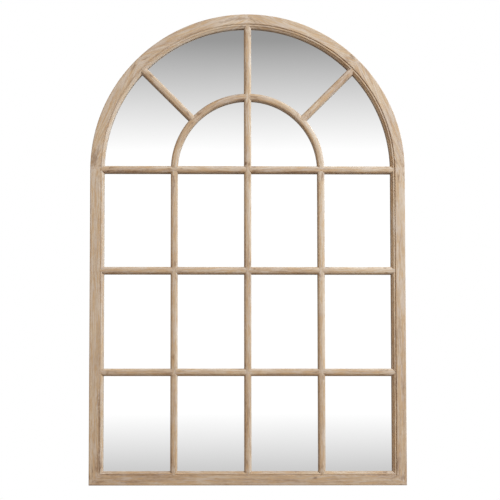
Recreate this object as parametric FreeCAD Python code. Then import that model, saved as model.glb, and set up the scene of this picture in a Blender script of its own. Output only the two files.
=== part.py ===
import FreeCAD, Part
import math
import os

# Arched window mirror: a limewashed softwood frame with a half-round head and moulded glazing
# bars, laid over one mirror plate that a board and framer's points hold in from behind.
#
# X runs to the right, Y from the front to the wall and Z up.  The origin is the middle of the
# bottom edge, halfway through the frame's depth.  Lengths are in millimetres, angles in degrees.

# ---------------------------------------------------------------- driving sizes

# The whole mirror; its head is a half circle as wide as the frame
overall_width = 800.0
overall_height = 1200.0

# Section of the outer frame, across it from the outer edge and back from the front face
frame_width = 36.0
frame_depth = 24.0
arris_radius = 2.0
bead_width = 11.0
quirk_width = 1.0
quirk_depth = 3.8
crown_offset = 3.5
crown_depth = 2.4
sight_edge_depth = 7.5
lip_depth = 15.0

# The rebate behind the lip, which holds the plate and then the board
glass_rebate = 9.0
glass_thickness = 4.0
glass_edge_gap = 1.5
board_thickness = 3.0
board_edge_gap = 1.0

# Flats that each round is worked in: the mouldings', the wire, screws and bumpers all round,
# and the D-ring's corner bends and its bow
arris_flats = 2
bead_flats = 4
shoulder_flats = 3
round_flats = 12
ring_bend_flats = 3
ring_bow_flats = 10

# Glazing bars
bar_width = 18.0
bar_depth = 13.0
bar_flat = 7.0
shoulder_drop = 5.0
shoulder_bulge = 1.2
diagonal_heading = 45.0
diagonal_drop = 7.5
housing_gap = 0.3

# Loose tenons across the frame's joints
tenon_thickness = 5.0
arch_tenon_length = 30.0
arch_tenon_width = 16.0
corner_tenon_length = 20.0
corner_tenon_width = 14.0
corner_tenon_inward = 17.0
tenon_gap = 0.05

# Framer's points: steel tabs pushed into the rebate's wall over the board
point_thickness = 0.5
point_width = 9.5
point_overhang = 8.0
point_shoulder = 2.5
point_depth = 7.0
point_gap = 0.02

# Strap hangers: a folded steel strap with a D-ring hinged in its fold
hanger_below_spring = 60.0
strap_thickness = 1.0
strap_width = 14.0
strap_length = 40.0
strap_ramp = 7.0
strap_end_margin = 8.0
strap_end_radius = 4.0
strap_end_flat = 0.5
ring_wire_radius = 1.25
ring_bore_gap = 0.05
ring_side_gap = 1.0
ring_bend_start = 0.25
ring_rest_gap = 0.3
ring_screw_gap = 1.25

# Pan-head screws of the hangers
pan_screw_radius = 1.75
pan_screw_length = 16.0
pan_head_radius = 3.4
pan_head_height = 2.0
pan_head_margin = 1.5
screw_gap = 0.05

# Rubber bumpers low on the back, which keep the frame off the wall
bumper_radius = 6.0
bumper_height = 3.0
bumper_above_floor = 40.0

# Names of the pieces that repeat, in order from the right end of the arch round to the left,
# from the left bar to the right one, and from the lower bar up
arch_names = ("arch_lower_right", "arch_upper_right", "arch_upper_left", "arch_lower_left")
upright_names = ("left_bar", "centre_bar", "right_bar")
cross_names = ("lower_cross_bar", "upper_cross_bar")
side_names = (("left", -1), ("right", 1))

# ---------------------------------------------------------------- places worked out from them

front = -frame_depth / 2
back = frame_depth / 2
arch_radius = overall_width / 2
spring = overall_height - arch_radius
sight_radius = arch_radius - frame_width
segment_angle = 180.0 / len(arch_names)

band_width = frame_width - bead_width
lip_back = front + lip_depth
glass_back = lip_back + glass_thickness
board_back = glass_back + board_thickness
rebate_at = frame_width - glass_rebate
rebate_radius = arch_radius - rebate_at

bar_half = bar_width / 2
bar_crown = lip_back - bar_depth
halving = lip_back - bar_depth / 2
shoulder_width = (bar_width - bar_flat) / 2
bead_reach = bead_width - housing_gap

column_pane = (2 * sight_radius - len(upright_names) * bar_width) / (len(upright_names) + 1)
column_pitch = column_pane + bar_width
row_pane = (spring - bar_half - frame_width - len(cross_names) * bar_width) / (len(cross_names) + 1)
row_pitch = row_pane + bar_width
upright_places = [(i - (len(upright_names) - 1) / 2) * column_pitch for i in range(len(upright_names))]
cross_places = [frame_width + row_pane + bar_half + i * row_pitch for i in range(len(cross_names))]

hanger_x = arch_radius - rebate_at / 2
hinge_z = spring - hanger_below_spring
bore_radius = ring_wire_radius + ring_bore_gap
fold_radius = bore_radius + strap_thickness
hinge_y = back + fold_radius
strap_face = back + 2 * strap_thickness
upper_screw_drop = strap_ramp + pan_head_margin + pan_head_radius
lower_screw_drop = strap_length - strap_end_margin
ring_half_width = strap_width / 2 + ring_side_gap + ring_wire_radius
ring_reach = upper_screw_drop + pan_head_radius + ring_screw_gap + ring_wire_radius
ring_corner = ring_side_gap + ring_wire_radius - ring_bend_start
ring_lean = math.degrees(math.asin((hinge_y - back - ring_wire_radius - ring_rest_gap) / ring_reach))

# How far cutting shapes run past what they cut, and how near counts as the same place
overrun = 5.0
near = 0.01


# ---------------------------------------------------------------- shapes to build with

def vec(x, y, z):
    return FreeCAD.Vector(x, y, z)


def face_of(edges):
    """Flat face inside a closed run of lines and arcs."""
    return Part.Face(Part.Wire([edge.toShape() for edge in edges]))


def prism(corners, y_from, y_to):
    """Straight-sided block: corners (x, z) seen from the front, standing from y_from to y_to."""
    points = [vec(x, y_from, z) for x, z in corners]
    outline = Part.makePolygon(points + points[:1])
    return Part.Face(outline).extrude(vec(0, y_to - y_from, 0))


def arched_plate(half_width, bottom, y_from, y_to):
    """Plate with a half-round top about the spring line's middle."""
    foot_left = vec(-half_width, y_from, bottom)
    foot_right = vec(half_width, y_from, bottom)
    spring_right = vec(half_width, y_from, spring)
    spring_left = vec(-half_width, y_from, spring)
    top = vec(0, y_from, spring + half_width)
    outline = face_of([
        Part.LineSegment(foot_left, foot_right),
        Part.LineSegment(foot_right, spring_right),
        Part.Arc(spring_right, top, spring_left),
        Part.LineSegment(spring_left, foot_left),
    ])
    return outline.extrude(vec(0, y_to - y_from, 0))


def round_corners(radius):
    """Corners (across, up) of a round about its middle."""
    turns = [2 * math.pi * (i + 0.5) / round_flats for i in range(round_flats)]
    return [(radius * math.cos(turn), radius * math.sin(turn)) for turn in turns]


def peg(x, z, radius, y_from, y_to):
    """Round peg along Y about the point (x, z)."""
    return prism([(x + across, z + up) for across, up in round_corners(radius)], y_from, y_to)


def place(shape, x, z, heading):
    """Turn a shape made along +X to its heading, from +X towards +Z, and move it to (x, z)."""
    moved = shape.copy()
    moved.rotate(vec(0, 0, 0), vec(0, -1, 0), heading)
    moved.translate(vec(x, 0, z))
    return moved


def on_arch(radius, angle):
    """Point (x, z) at a radius and angle about the arch's centre on the spring line."""
    turn = math.radians(angle)
    return radius * math.cos(turn), spring + radius * math.sin(turn)


# ---------------------------------------------------------------- sections

def rounded(start, by, end, flats):
    """Points from start to end along the arc through by, one at the end of each flat."""
    arc = Part.Arc(vec(*start, 0), vec(*by, 0), vec(*end, 0)).toShape()
    return [(point.x, point.y) for point in arc.discretize(flats + 1)]


def section(outline, at):
    """Flat face of a section given as (across, y) points; at places each of them."""
    points = [at(across, y) for across, y in outline]
    return Part.Face(Part.makePolygon(points + points[:1]))


def frame_outline():
    """Moulded section of the frame: u inward from its outer edge, and y."""
    eased = arris_radius * (1 - math.sqrt(0.5))
    quirk_y = front + quirk_depth
    quirk_end = (band_width + quirk_width, quirk_y)
    crown = (band_width + quirk_width + crown_offset, front + crown_depth)
    sight_edge = (frame_width, front + sight_edge_depth)
    arris = rounded((0, front + arris_radius), (eased, front + eased), (arris_radius, front),
                    arris_flats)
    band = [(band_width, front), (band_width, quirk_y)]
    bead = rounded(quirk_end, crown, sight_edge, bead_flats)
    rebate = [(frame_width, lip_back), (rebate_at, lip_back), (rebate_at, back), (0, back)]
    return arris + band + bead + rebate


def bar_outline():
    """Section of a glazing bar, a flat between rounded shoulders: s off its middle, and y."""
    flat_half = bar_flat / 2
    edge_y = bar_crown + shoulder_drop
    chord = math.hypot(shoulder_width, shoulder_drop)
    bulge_s = (flat_half + bar_half) / 2 + shoulder_bulge * shoulder_drop / chord
    bulge_y = (bar_crown + edge_y) / 2 - shoulder_bulge * shoulder_width / chord
    right = rounded((flat_half, bar_crown), (bulge_s, bulge_y), (bar_half, edge_y), shoulder_flats)
    right.append((bar_half, lip_back))
    left = [(-s, y) for s, y in reversed(right)]
    return right + left


def straight_bar(x, z, heading, length):
    """Uncut glazing bar that starts at (x, z)."""
    end = section(bar_outline(), lambda s, y: vec(0, y, s))
    return place(end.extrude(vec(length, 0, 0)), x, z, heading)


def curved_bar(radius, from_angle, sweep):
    """Uncut glazing bar round the arch's centre."""
    end = section(bar_outline(), lambda s, y: vec(radius + s, y, spring))
    centre = vec(0, 0, spring)
    bar = end.revolve(centre, vec(0, -1, 0), sweep)
    bar.rotate(centre, vec(0, -1, 0), from_angle)
    return bar


# ---------------------------------------------------------------- joints of the glazing bars

def tongue(x, z, heading, reach):
    """Room for a bar's end in the piece it enters at (x, z).

    The bar's shoulders are mitred against that piece's moulding and its flat runs on to the
    reach.  Only the front half enters, so the room ends at the halving line.
    """
    mitre = min(shoulder_width, reach)
    root = bar_half + overrun
    tip = bar_half - mitre
    lower = [(-overrun, -root), (mitre, -tip)]
    if reach > mitre:
        lower.append((reach, -tip))
    upper = [(along, -across) for along, across in reversed(lower)]
    return place(prism(lower + upper, front - overrun, halving), x, z, heading)


def passing_front(x, z):
    """Room of an upright's front half where it passes over a level bar at (x, z)."""
    flat_half = bar_flat / 2
    wide = bar_half + overrun
    right = [(wide, wide), (flat_half, flat_half), (flat_half, -flat_half), (wide, -wide)]
    left = [(-along, -across) for along, across in right]
    return place(prism(right + left, front - overrun, halving), x, z, 0)


def passing_back(x, z):
    """Room of a level bar's back half where an upright passes over it at (x, z)."""
    corners = [
        (-bar_half - overrun, -bar_half),
        (bar_half + overrun, -bar_half),
        (bar_half + overrun, bar_half),
        (-bar_half - overrun, bar_half),
    ]
    return place(prism(corners, halving, back), x, z, 0)


def level_strip(z):
    """Everything as high as a level bar at z."""
    corners = [
        (-overall_width, z - bar_half),
        (overall_width, z - bar_half),
        (overall_width, z + bar_half),
        (-overall_width, z + bar_half),
    ]
    return prism(corners, front - overrun, back)


def upright_strip(x):
    """Everything as wide as an upright bar at x."""
    corners = [
        (x - bar_half, 0),
        (x + bar_half, 0),
        (x + bar_half, overall_height),
        (x - bar_half, overall_height),
    ]
    return prism(corners, front - overrun, back)


def fitted(bar, room, tongues):
    """Bar trimmed to its room, with a tongue at each end that enters another piece."""
    ends = [bar.common(end) for end in tongues]
    return bar.common(room).fuse(ends).removeSplitter()


# ---------------------------------------------------------------- where the bars' ends go

foot_tongues = {x: tongue(x, frame_width, -90, bead_reach) for x in upright_places}
crown_tongue = tongue(0, spring + sight_radius, 90, bead_reach)
level_places = cross_places + [spring]
side_tongues = {
    z: [tongue(side * sight_radius, z, 90 - side * 90, bead_reach) for _, side in side_names]
    for z in level_places
}


def crossing_tongues(x, z):
    """Ends of a level bar's two front halves, against an upright at (x, z)."""
    return [tongue(x - side * bar_half, z, 90 - side * 90, shoulder_width) for _, side in side_names]


def head_tongue(side):
    """Upper end of an outer upright, under the transom."""
    return tongue(side * column_pitch, spring - bar_half, 90, shoulder_width)


def springer_tongue(side):
    """Lower end of the inner arch, on the transom."""
    return tongue(side * column_pitch, spring + bar_half, -90, shoulder_width)


def inner_crown_tongue(side):
    """Upper end of the inner arch, against the centre bar."""
    return tongue(side * bar_half, spring + column_pitch, 90 + side * 90, shoulder_width)


def diagonal_point(side, radius):
    """Point (x, z) where a diagonal's middle line meets a circle about the arch's centre."""
    turn = math.radians(diagonal_heading)
    along = math.sqrt(radius ** 2 - diagonal_drop ** 2)
    x = along * math.cos(turn) + diagonal_drop * math.sin(turn)
    z = along * math.sin(turn) - diagonal_drop * math.cos(turn)
    return side * x, spring + z


def diagonal_tongues(side):
    """A diagonal's ends: outward into the arch, and inward into the inner arch."""
    outward = 90 - side * (90 - diagonal_heading)
    outer = tongue(*diagonal_point(side, sight_radius), outward, bead_reach)
    inner = tongue(*diagonal_point(side, column_pitch + bar_half), outward + 180, shoulder_width)
    return outer, inner


# ---------------------------------------------------------------- fastenings and their holes

def tenon(x, z, heading, length, width, gap):
    """Loose tenon centred on a joint, midway between the halving line and the lip's back."""
    middle = (halving + lip_back) / 2
    half_length = length / 2 + gap
    half_width = width / 2 + gap
    half_thickness = tenon_thickness / 2 + gap
    corners = [
        (-half_length, -half_width),
        (half_length, -half_width),
        (half_length, half_width),
        (-half_length, half_width),
    ]
    return place(prism(corners, middle - half_thickness, middle + half_thickness), x, z, heading)


def arch_tenons(gap):
    """One tenon in each joint of the arch, with those on the spring line."""
    middle = arch_radius - rebate_at / 2
    tenons = []
    for joint in range(len(arch_names) + 1):
        angle = joint * segment_angle
        x, z = on_arch(middle, angle)
        tenons.append(tenon(x, z, angle + 90, arch_tenon_length, arch_tenon_width, gap))
    return tenons


def corner_tenons(gap):
    """One tenon square through the mitre of each bottom corner."""
    tenons = []
    for _, side in side_names:
        x = side * (arch_radius - corner_tenon_inward)
        tenons.append(tenon(x, corner_tenon_inward, side * 45, corner_tenon_length,
                            corner_tenon_width, gap))
    return tenons


def framers_point(x, z, heading, gap):
    """Flat steel tab at (x, z) on the rebate's wall, driven in at its heading."""
    half = point_width / 2 + gap
    corners = [
        (-point_overhang, -half),
        (point_shoulder, -half),
        (point_depth + gap, 0),
        (point_shoulder, half),
        (-point_overhang, half),
    ]
    return place(prism(corners, board_back - gap, board_back + point_thickness + gap), x, z, heading)


def framers_points(gap):
    """A point halfway along each pane of the sides and foot, and along each arch half-segment."""
    points = [framers_point(x, rebate_at, -90, gap) for x in column_middles()]
    for _, side in side_names:
        for z in row_middles():
            points.append(framers_point(side * rebate_radius, z, 90 - side * 90, gap))
    half_segments = 2 * len(arch_names)
    for i in range(half_segments):
        angle = (i + 0.5) * 180 / half_segments
        x, z = on_arch(rebate_radius, angle)
        points.append(framers_point(x, z, angle, gap))
    return points


def column_middles():
    """Middle of each column of panes."""
    first = -sight_radius + column_pane / 2
    return [first + i * column_pitch for i in range(len(upright_names) + 1)]


def row_middles():
    """Middle of each row of panes below the spring line."""
    first = frame_width + row_pane / 2
    return [first + i * row_pitch for i in range(len(cross_names) + 1)]


def hanger_screws(gap):
    """Two pan-head screws through each strap."""
    end = strap_face - pan_screw_length
    screws = []
    for _, side in side_names:
        x = side * hanger_x
        for drop in (upper_screw_drop, lower_screw_drop):
            z = hinge_z - drop
            shank = peg(x, z, pan_screw_radius + gap, end, strap_face)
            head = peg(x, z, pan_head_radius, strap_face, strap_face + pan_head_height)
            screws.append(shank.fuse(head))
    return screws


frame_cuts = list(foot_tongues.values()) + [crown_tongue] + sum(side_tongues.values(), [])
for _, side in side_names:
    frame_cuts.append(diagonal_tongues(side)[0])
frame_cuts += arch_tenons(tenon_gap) + corner_tenons(tenon_gap) + framers_points(point_gap)
frame_cuts += hanger_screws(screw_gap)


# ---------------------------------------------------------------- outer frame

def stile(side):
    """Upright of the frame, mitred at its foot and square at the spring line."""
    foot = section(frame_outline(), lambda u, y: vec(side * (arch_radius - u), y, 0))
    upright = foot.extrude(vec(0, 0, spring))
    below_mitre = [
        (side * (arch_radius + overrun), -overrun),
        (side * (sight_radius - overrun), frame_width + overrun),
        (side * (sight_radius - overrun), -overrun),
    ]
    return upright.cut([prism(below_mitre, front - overrun, back + overrun)] + frame_cuts)


def bottom_rail():
    """Bottom of the frame, mitred at both ends."""
    end = section(frame_outline(), lambda u, y: vec(-arch_radius, y, u))
    rail = end.extrude(vec(overall_width, 0, 0))
    above_mitres = []
    for _, side in side_names:
        corners = [
            (side * (arch_radius + overrun), -overrun),
            (side * (sight_radius - overrun), frame_width + overrun),
            (side * (arch_radius + overrun), frame_width + overrun),
        ]
        above_mitres.append(prism(corners, front - overrun, back + overrun))
    return rail.cut(above_mitres + frame_cuts)


def arch_segment(index):
    """One sawn length of the arch between two radial joints."""
    end = section(frame_outline(), lambda u, y: vec(arch_radius - u, y, spring))
    centre = vec(0, 0, spring)
    segment = end.revolve(centre, vec(0, -1, 0), segment_angle)
    segment.rotate(centre, vec(0, -1, 0), index * segment_angle)
    return segment.cut(frame_cuts)


# ---------------------------------------------------------------- glazing bars

sight_opening = arched_plate(sight_radius, frame_width, front - overrun, back)


def centre_bar():
    """Upright from the bottom rail to the arch's crown, in front at every crossing."""
    crown = spring + sight_radius
    bar = straight_bar(0, band_width, 90, crown + frame_width - 2 * band_width)
    bar = fitted(bar, sight_opening, [foot_tongues[0], crown_tongue])
    cuts = [inner_crown_tongue(side) for _, side in side_names]
    for z in level_places:
        cuts += crossing_tongues(0, z) + [passing_back(0, z)]
    return bar.cut(cuts)


def outer_bar(side):
    """Upright from the bottom rail to the underside of the transom."""
    x = side * column_pitch
    bar = straight_bar(x, band_width, 90, spring - band_width)
    bar = fitted(bar, sight_opening.cut(level_strip(spring)), [foot_tongues[x], head_tongue(side)])
    cuts = []
    for z in cross_places:
        cuts += crossing_tongues(x, z) + [passing_back(x, z)]
    return bar.cut(cuts)


def level_bar(z, crossings):
    """Bar from stile to stile, halved behind the uprights that cross it."""
    reach = sight_radius + bead_width
    bar = fitted(straight_bar(-reach, z, 0, 2 * reach), sight_opening, side_tongues[z])
    return bar.cut([passing_front(x, z) for x in crossings])


def transom():
    """Level bar on the spring line, halved behind the centre bar alone."""
    notches = []
    for _, side in side_names:
        notches += [head_tongue(side), springer_tongue(side)]
    return level_bar(spring, [0]).cut(notches)


def inner_arch(side):
    """Quarter ring from the transom up to the centre bar, in line with the outer upright."""
    start = 45 - side * 45
    bar = curved_bar(column_pitch, start, 90)
    room = sight_opening.cut([level_strip(spring), upright_strip(0)])
    bar = fitted(bar, room, [springer_tongue(side), inner_crown_tongue(side)])
    return bar.cut(diagonal_tongues(side)[1])


def diagonal(side):
    """Bar from the inner arch out to the frame's arch."""
    heading = 90 - side * (90 - diagonal_heading)
    inner_radius = column_pitch
    start_x, start_z = diagonal_point(side, inner_radius)
    end_x, end_z = diagonal_point(side, sight_radius + bead_width)
    bar = straight_bar(start_x, start_z, heading, math.hypot(end_x - start_x, end_z - start_z))
    hub = Part.makeCylinder(column_pitch + bar_half, 2 * frame_depth, vec(0, -frame_depth, spring),
                            vec(0, 1, 0))
    return fitted(bar, sight_opening.cut(hub), diagonal_tongues(side))


# ---------------------------------------------------------------- plate and board

def mirror_glass():
    """Mirror plate, standing on the bottom of its rebate behind the lip and the bars."""
    return arched_plate(rebate_radius - glass_edge_gap, rebate_at, lip_back, glass_back)


def backing_board():
    """Board behind the plate, standing in the same rebate."""
    return arched_plate(rebate_radius - board_edge_gap, rebate_at, glass_back, board_back)


# ---------------------------------------------------------------- hangers and bumpers

def strap(side):
    """Steel strap doubled over the D-ring's bar and pressed flat below it."""
    x = side * hanger_x - strap_width / 2
    foot = hinge_z - strap_length
    foot_back = vec(x, back, foot)
    hinge_back = vec(x, back, hinge_z)
    fold_tip = vec(x, hinge_y, hinge_z + fold_radius)
    fold_end = vec(x, hinge_y + fold_radius, hinge_z)
    ramp_end = vec(x, strap_face, hinge_z - strap_ramp)
    foot_face = vec(x, strap_face, foot)
    edge = face_of([
        Part.LineSegment(foot_back, hinge_back),
        Part.Arc(hinge_back, fold_tip, fold_end),
        Part.LineSegment(fold_end, ramp_end),
        Part.LineSegment(ramp_end, foot_face),
        Part.LineSegment(foot_face, foot_back),
    ])
    plate = edge.extrude(vec(strap_width, 0, 0))
    foot_edges = [edge for edge in plate.Edges
                  if edge.BoundBox.ZMax < foot + near and edge.BoundBox.XLength < near]
    plate = plate.makeFillet(min(strap_end_radius, strap_width / 2 - strap_end_flat), foot_edges)
    bore = Part.makeCylinder(bore_radius, strap_width, vec(x, hinge_y, hinge_z), vec(1, 0, 0))
    return plate.cut([bore] + hanger_screws(screw_gap))


def ring(side):
    """D-ring of round wire, standing up from its bar and leaning on the frame's back."""
    half = ring_half_width
    round_start = ring_reach - half
    inset = ring_corner * (1 - math.sqrt(0.5))
    bend = rounded((half - ring_corner, 0), (half - inset, inset), (half, ring_corner), ring_bend_flats)
    bow = rounded((half, round_start), (0, ring_reach), (-half, round_start), ring_bow_flats)
    other_bend = [(-x, z) for x, z in reversed(bend)]
    path = [vec(x, 0, z) for x, z in [(0, 0)] + bend + bow + other_bend]
    wire = [vec(0, across, up) for across, up in round_corners(ring_wire_radius)]
    spine = Part.makePolygon(path + path[:1])
    loop = spine.makePipeShell([Part.makePolygon(wire + wire[:1])], True, False, 1).removeSplitter()
    loop.rotate(vec(0, 0, 0), vec(1, 0, 0), ring_lean)
    loop.translate(vec(side * hanger_x, hinge_y, hinge_z))
    return loop


def bumper(side):
    """Round rubber bumper."""
    return peg(side * hanger_x, bumper_above_floor, bumper_radius, back, back + bumper_height)


# ---------------------------------------------------------------- every piece, by name

pieces = {
    "bottom_rail": bottom_rail(),
    "centre_bar": centre_bar(),
    "transom": transom(),
    "mirror_glass": mirror_glass(),
    "backing_board": backing_board(),
    "arch_tenons": Part.makeCompound(arch_tenons(0)),
    "corner_tenons": Part.makeCompound(corner_tenons(0)),
    "framers_points": Part.makeCompound(framers_points(0)),
    "hanger_screws": Part.makeCompound(hanger_screws(0)),
}
for index, name in enumerate(arch_names):
    pieces[name] = arch_segment(index)
for name, z in zip(cross_names, cross_places):
    pieces[name] = level_bar(z, upright_places)
for name, side in side_names:
    pieces["stile_" + name] = stile(side)
    pieces[name + "_bar"] = outer_bar(side)
    pieces["inner_arch_" + name] = inner_arch(side)
    pieces["diagonal_" + name] = diagonal(side)
    pieces["strap_" + name] = strap(side)
    pieces["ring_" + name] = ring(side)
    pieces["bumper_" + name] = bumper(side)

os.makedirs("parts", exist_ok=True)
for name, shape in pieces.items():
    shape.exportStep(os.path.join("parts", name + ".step"))
    print(f"{name:18s} solids {len(shape.Solids):2d}  volume {shape.Volume / 1000:9.2f} cm3  "
          f"valid {shape.isValid()}")
print(f"ring leans {ring_lean:.2f} degrees; reach {ring_reach:.2f}; hinge y {hinge_y:.2f} z {hinge_z:.2f}")
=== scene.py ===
import logging
import math
from dataclasses import dataclass, field
from enum import Enum
from typing import (Any, Callable, ClassVar, Dict, Iterable, List, Mapping, Sequence, Tuple,
                    Union)

import bmesh
import bpy
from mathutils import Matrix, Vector


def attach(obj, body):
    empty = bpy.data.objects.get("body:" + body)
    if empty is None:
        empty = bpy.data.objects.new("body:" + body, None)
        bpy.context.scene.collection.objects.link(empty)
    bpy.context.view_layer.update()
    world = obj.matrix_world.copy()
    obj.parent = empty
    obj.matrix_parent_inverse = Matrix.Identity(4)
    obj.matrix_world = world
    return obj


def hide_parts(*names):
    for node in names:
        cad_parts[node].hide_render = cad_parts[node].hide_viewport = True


# Arched window mirror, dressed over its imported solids.  Metres; X runs to the right, Y from the
# front to the wall, Z up.

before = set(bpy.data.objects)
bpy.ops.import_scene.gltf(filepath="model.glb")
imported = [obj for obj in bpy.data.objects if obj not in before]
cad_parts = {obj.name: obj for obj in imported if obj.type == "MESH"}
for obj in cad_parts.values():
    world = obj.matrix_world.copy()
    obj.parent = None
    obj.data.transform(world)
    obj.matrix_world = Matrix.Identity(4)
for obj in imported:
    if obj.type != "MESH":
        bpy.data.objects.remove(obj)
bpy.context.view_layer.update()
log = logging.getLogger("arched_window_mirror")

Point = Tuple[float, float]
Colour = Tuple[float, float, float]
Ring = List[Vector]


class Slot(Enum):
    """Material slots of the record."""

    FIR = "limewashed_fir"
    BEECH = "beech"
    MIRROR = "mirror_plate"
    BOARD = "fibreboard"
    STEEL = "zinc_steel"
    RUBBER = "bumper_rubber"


class Side(Enum):
    """Left or right as seen from the front."""

    LEFT = -1
    RIGHT = 1

    @property
    def word(self) -> str:
        """Name of the side as it stands in the nodes' names."""
        return self.name.lower()


# ---------------------------------------------------------------- sizes that pieces share

@dataclass(frozen=True)
class Layout:
    """Sizes of the mirror that more than one sub-assembly needs."""

    width: float = 0.800
    height: float = 1.200
    frame_width: float = 0.036
    front: float = -0.012
    back: float = 0.012
    lip_back: float = 0.003
    glass_back: float = 0.007
    board_back: float = 0.010
    rebate_at: float = 0.027
    band_width: float = 0.025
    bar_half: float = 0.009
    flat_half: float = 0.0035
    bar_crown: float = -0.010
    halving: float = -0.0035
    housing_gap: float = 0.0003
    overrun: float = 0.005

    @property
    def radius(self) -> float:
        """Outer radius of the arch."""
        return self.width / 2

    @property
    def spring(self) -> float:
        """Height of the spring line, where the arch starts."""
        return self.height - self.radius

    @property
    def sight(self) -> float:
        """Radius of the frame's inner edge."""
        return self.radius - self.frame_width

    @property
    def shoulder(self) -> float:
        """Width of a glazing bar's rounded shoulder."""
        return self.bar_half - self.flat_half

    @property
    def bead_reach(self) -> float:
        """How far a bar's flat runs into the frame's bead."""
        return self.frame_width - self.band_width - self.housing_gap

    @property
    def pitch(self) -> float:
        """Distance between the middles of the upright bars."""
        return (2 * self.sight + 2 * self.bar_half) / 4

    @property
    def crossings(self) -> List[float]:
        """Heights of the two cross bars."""
        pane = (self.spring - self.frame_width - 5 * self.bar_half) / 3
        first = self.frame_width + pane + self.bar_half
        return [first, first + pane + 2 * self.bar_half]


@dataclass(frozen=True)
class Spot:
    """A place on the front and a heading there, in degrees from +X towards +Z."""

    x: float
    z: float
    heading: float = 0.0

    def at(self, along: float, across: float) -> Point:
        """Place that far along the heading and across it.

        Args:
            along: distance along the heading.
            across: distance to the left of the heading.

        Returns:
            The place's x and z.
        """
        turn = math.radians(self.heading)
        x = self.x + along * math.cos(turn) - across * math.sin(turn)
        return x, self.z + along * math.sin(turn) + across * math.cos(turn)

    def seen(self, x: float, z: float) -> Point:
        """Undo at(): how far along and across a place (x, z) is."""
        turn = math.radians(self.heading)
        dx, dz = x - self.x, z - self.z
        return dx * math.cos(turn) + dz * math.sin(turn), dz * math.cos(turn) - dx * math.sin(turn)


# ---------------------------------------------------------------- outlines

def arc(start: Point, by: Point, end: Point, steps: int) -> List[Point]:
    """Points along the arc through three points.

    Args:
        start: first point.
        by: any point between the ends.
        end: last point.
        steps: number of equal steps.

    Returns:
        steps + 1 points, both ends among them.
    """
    (x1, y1), (x2, y2), (x3, y3) = start, by, end
    s1, s2, s3 = x1 * x1 + y1 * y1, x2 * x2 + y2 * y2, x3 * x3 + y3 * y3
    d = 2 * (x1 * (y2 - y3) + x2 * (y3 - y1) + x3 * (y1 - y2))
    cx = (s1 * (y2 - y3) + s2 * (y3 - y1) + s3 * (y1 - y2)) / d
    cy = (s1 * (x3 - x2) + s2 * (x1 - x3) + s3 * (x2 - x1)) / d
    first = math.atan2(y1 - cy, x1 - cx)
    middle = (math.atan2(y2 - cy, x2 - cx) - first) % math.tau
    sweep = (math.atan2(y3 - cy, x3 - cx) - first) % math.tau
    if middle > sweep:
        sweep -= math.tau
    radius = math.hypot(x1 - cx, y1 - cy)
    turns = [first + sweep * i / steps for i in range(steps + 1)]
    return [(cx + radius * math.cos(t), cy + radius * math.sin(t)) for t in turns]


def eased(corners: Sequence[Tuple[float, float, float]], steps: int = 4) -> List[Point]:
    """Closed outline with its corners rounded over.

    Args:
        corners: (across, y, ease) each, where ease is how far back the rounding starts.
        steps: steps in each rounding.

    Returns:
        The outline's points.
    """
    points: List[Point] = []
    for i, (a, b, ease) in enumerate(corners):
        if ease == 0:
            points.append((a, b))
            continue
        here = Vector((a, b))
        before = Vector(corners[i - 1][:2]) - here
        after = Vector(corners[(i + 1) % len(corners)][:2]) - here
        start = here + before.normalized() * ease
        end = here + after.normalized() * ease
        for k in range(steps + 1):
            t = k / steps
            point = start * (1 - t) ** 2 + here * 2 * t * (1 - t) + end * t * t
            points.append((point.x, point.y))
    return points


# ---------------------------------------------------------------- blanks that are cut to shape

def stand(name: str, data: Any) -> bpy.types.Object:
    """Put a new object of that data in the scene."""
    thing = bpy.data.objects.new(name, data)
    bpy.context.scene.collection.objects.link(thing)
    return thing


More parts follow.
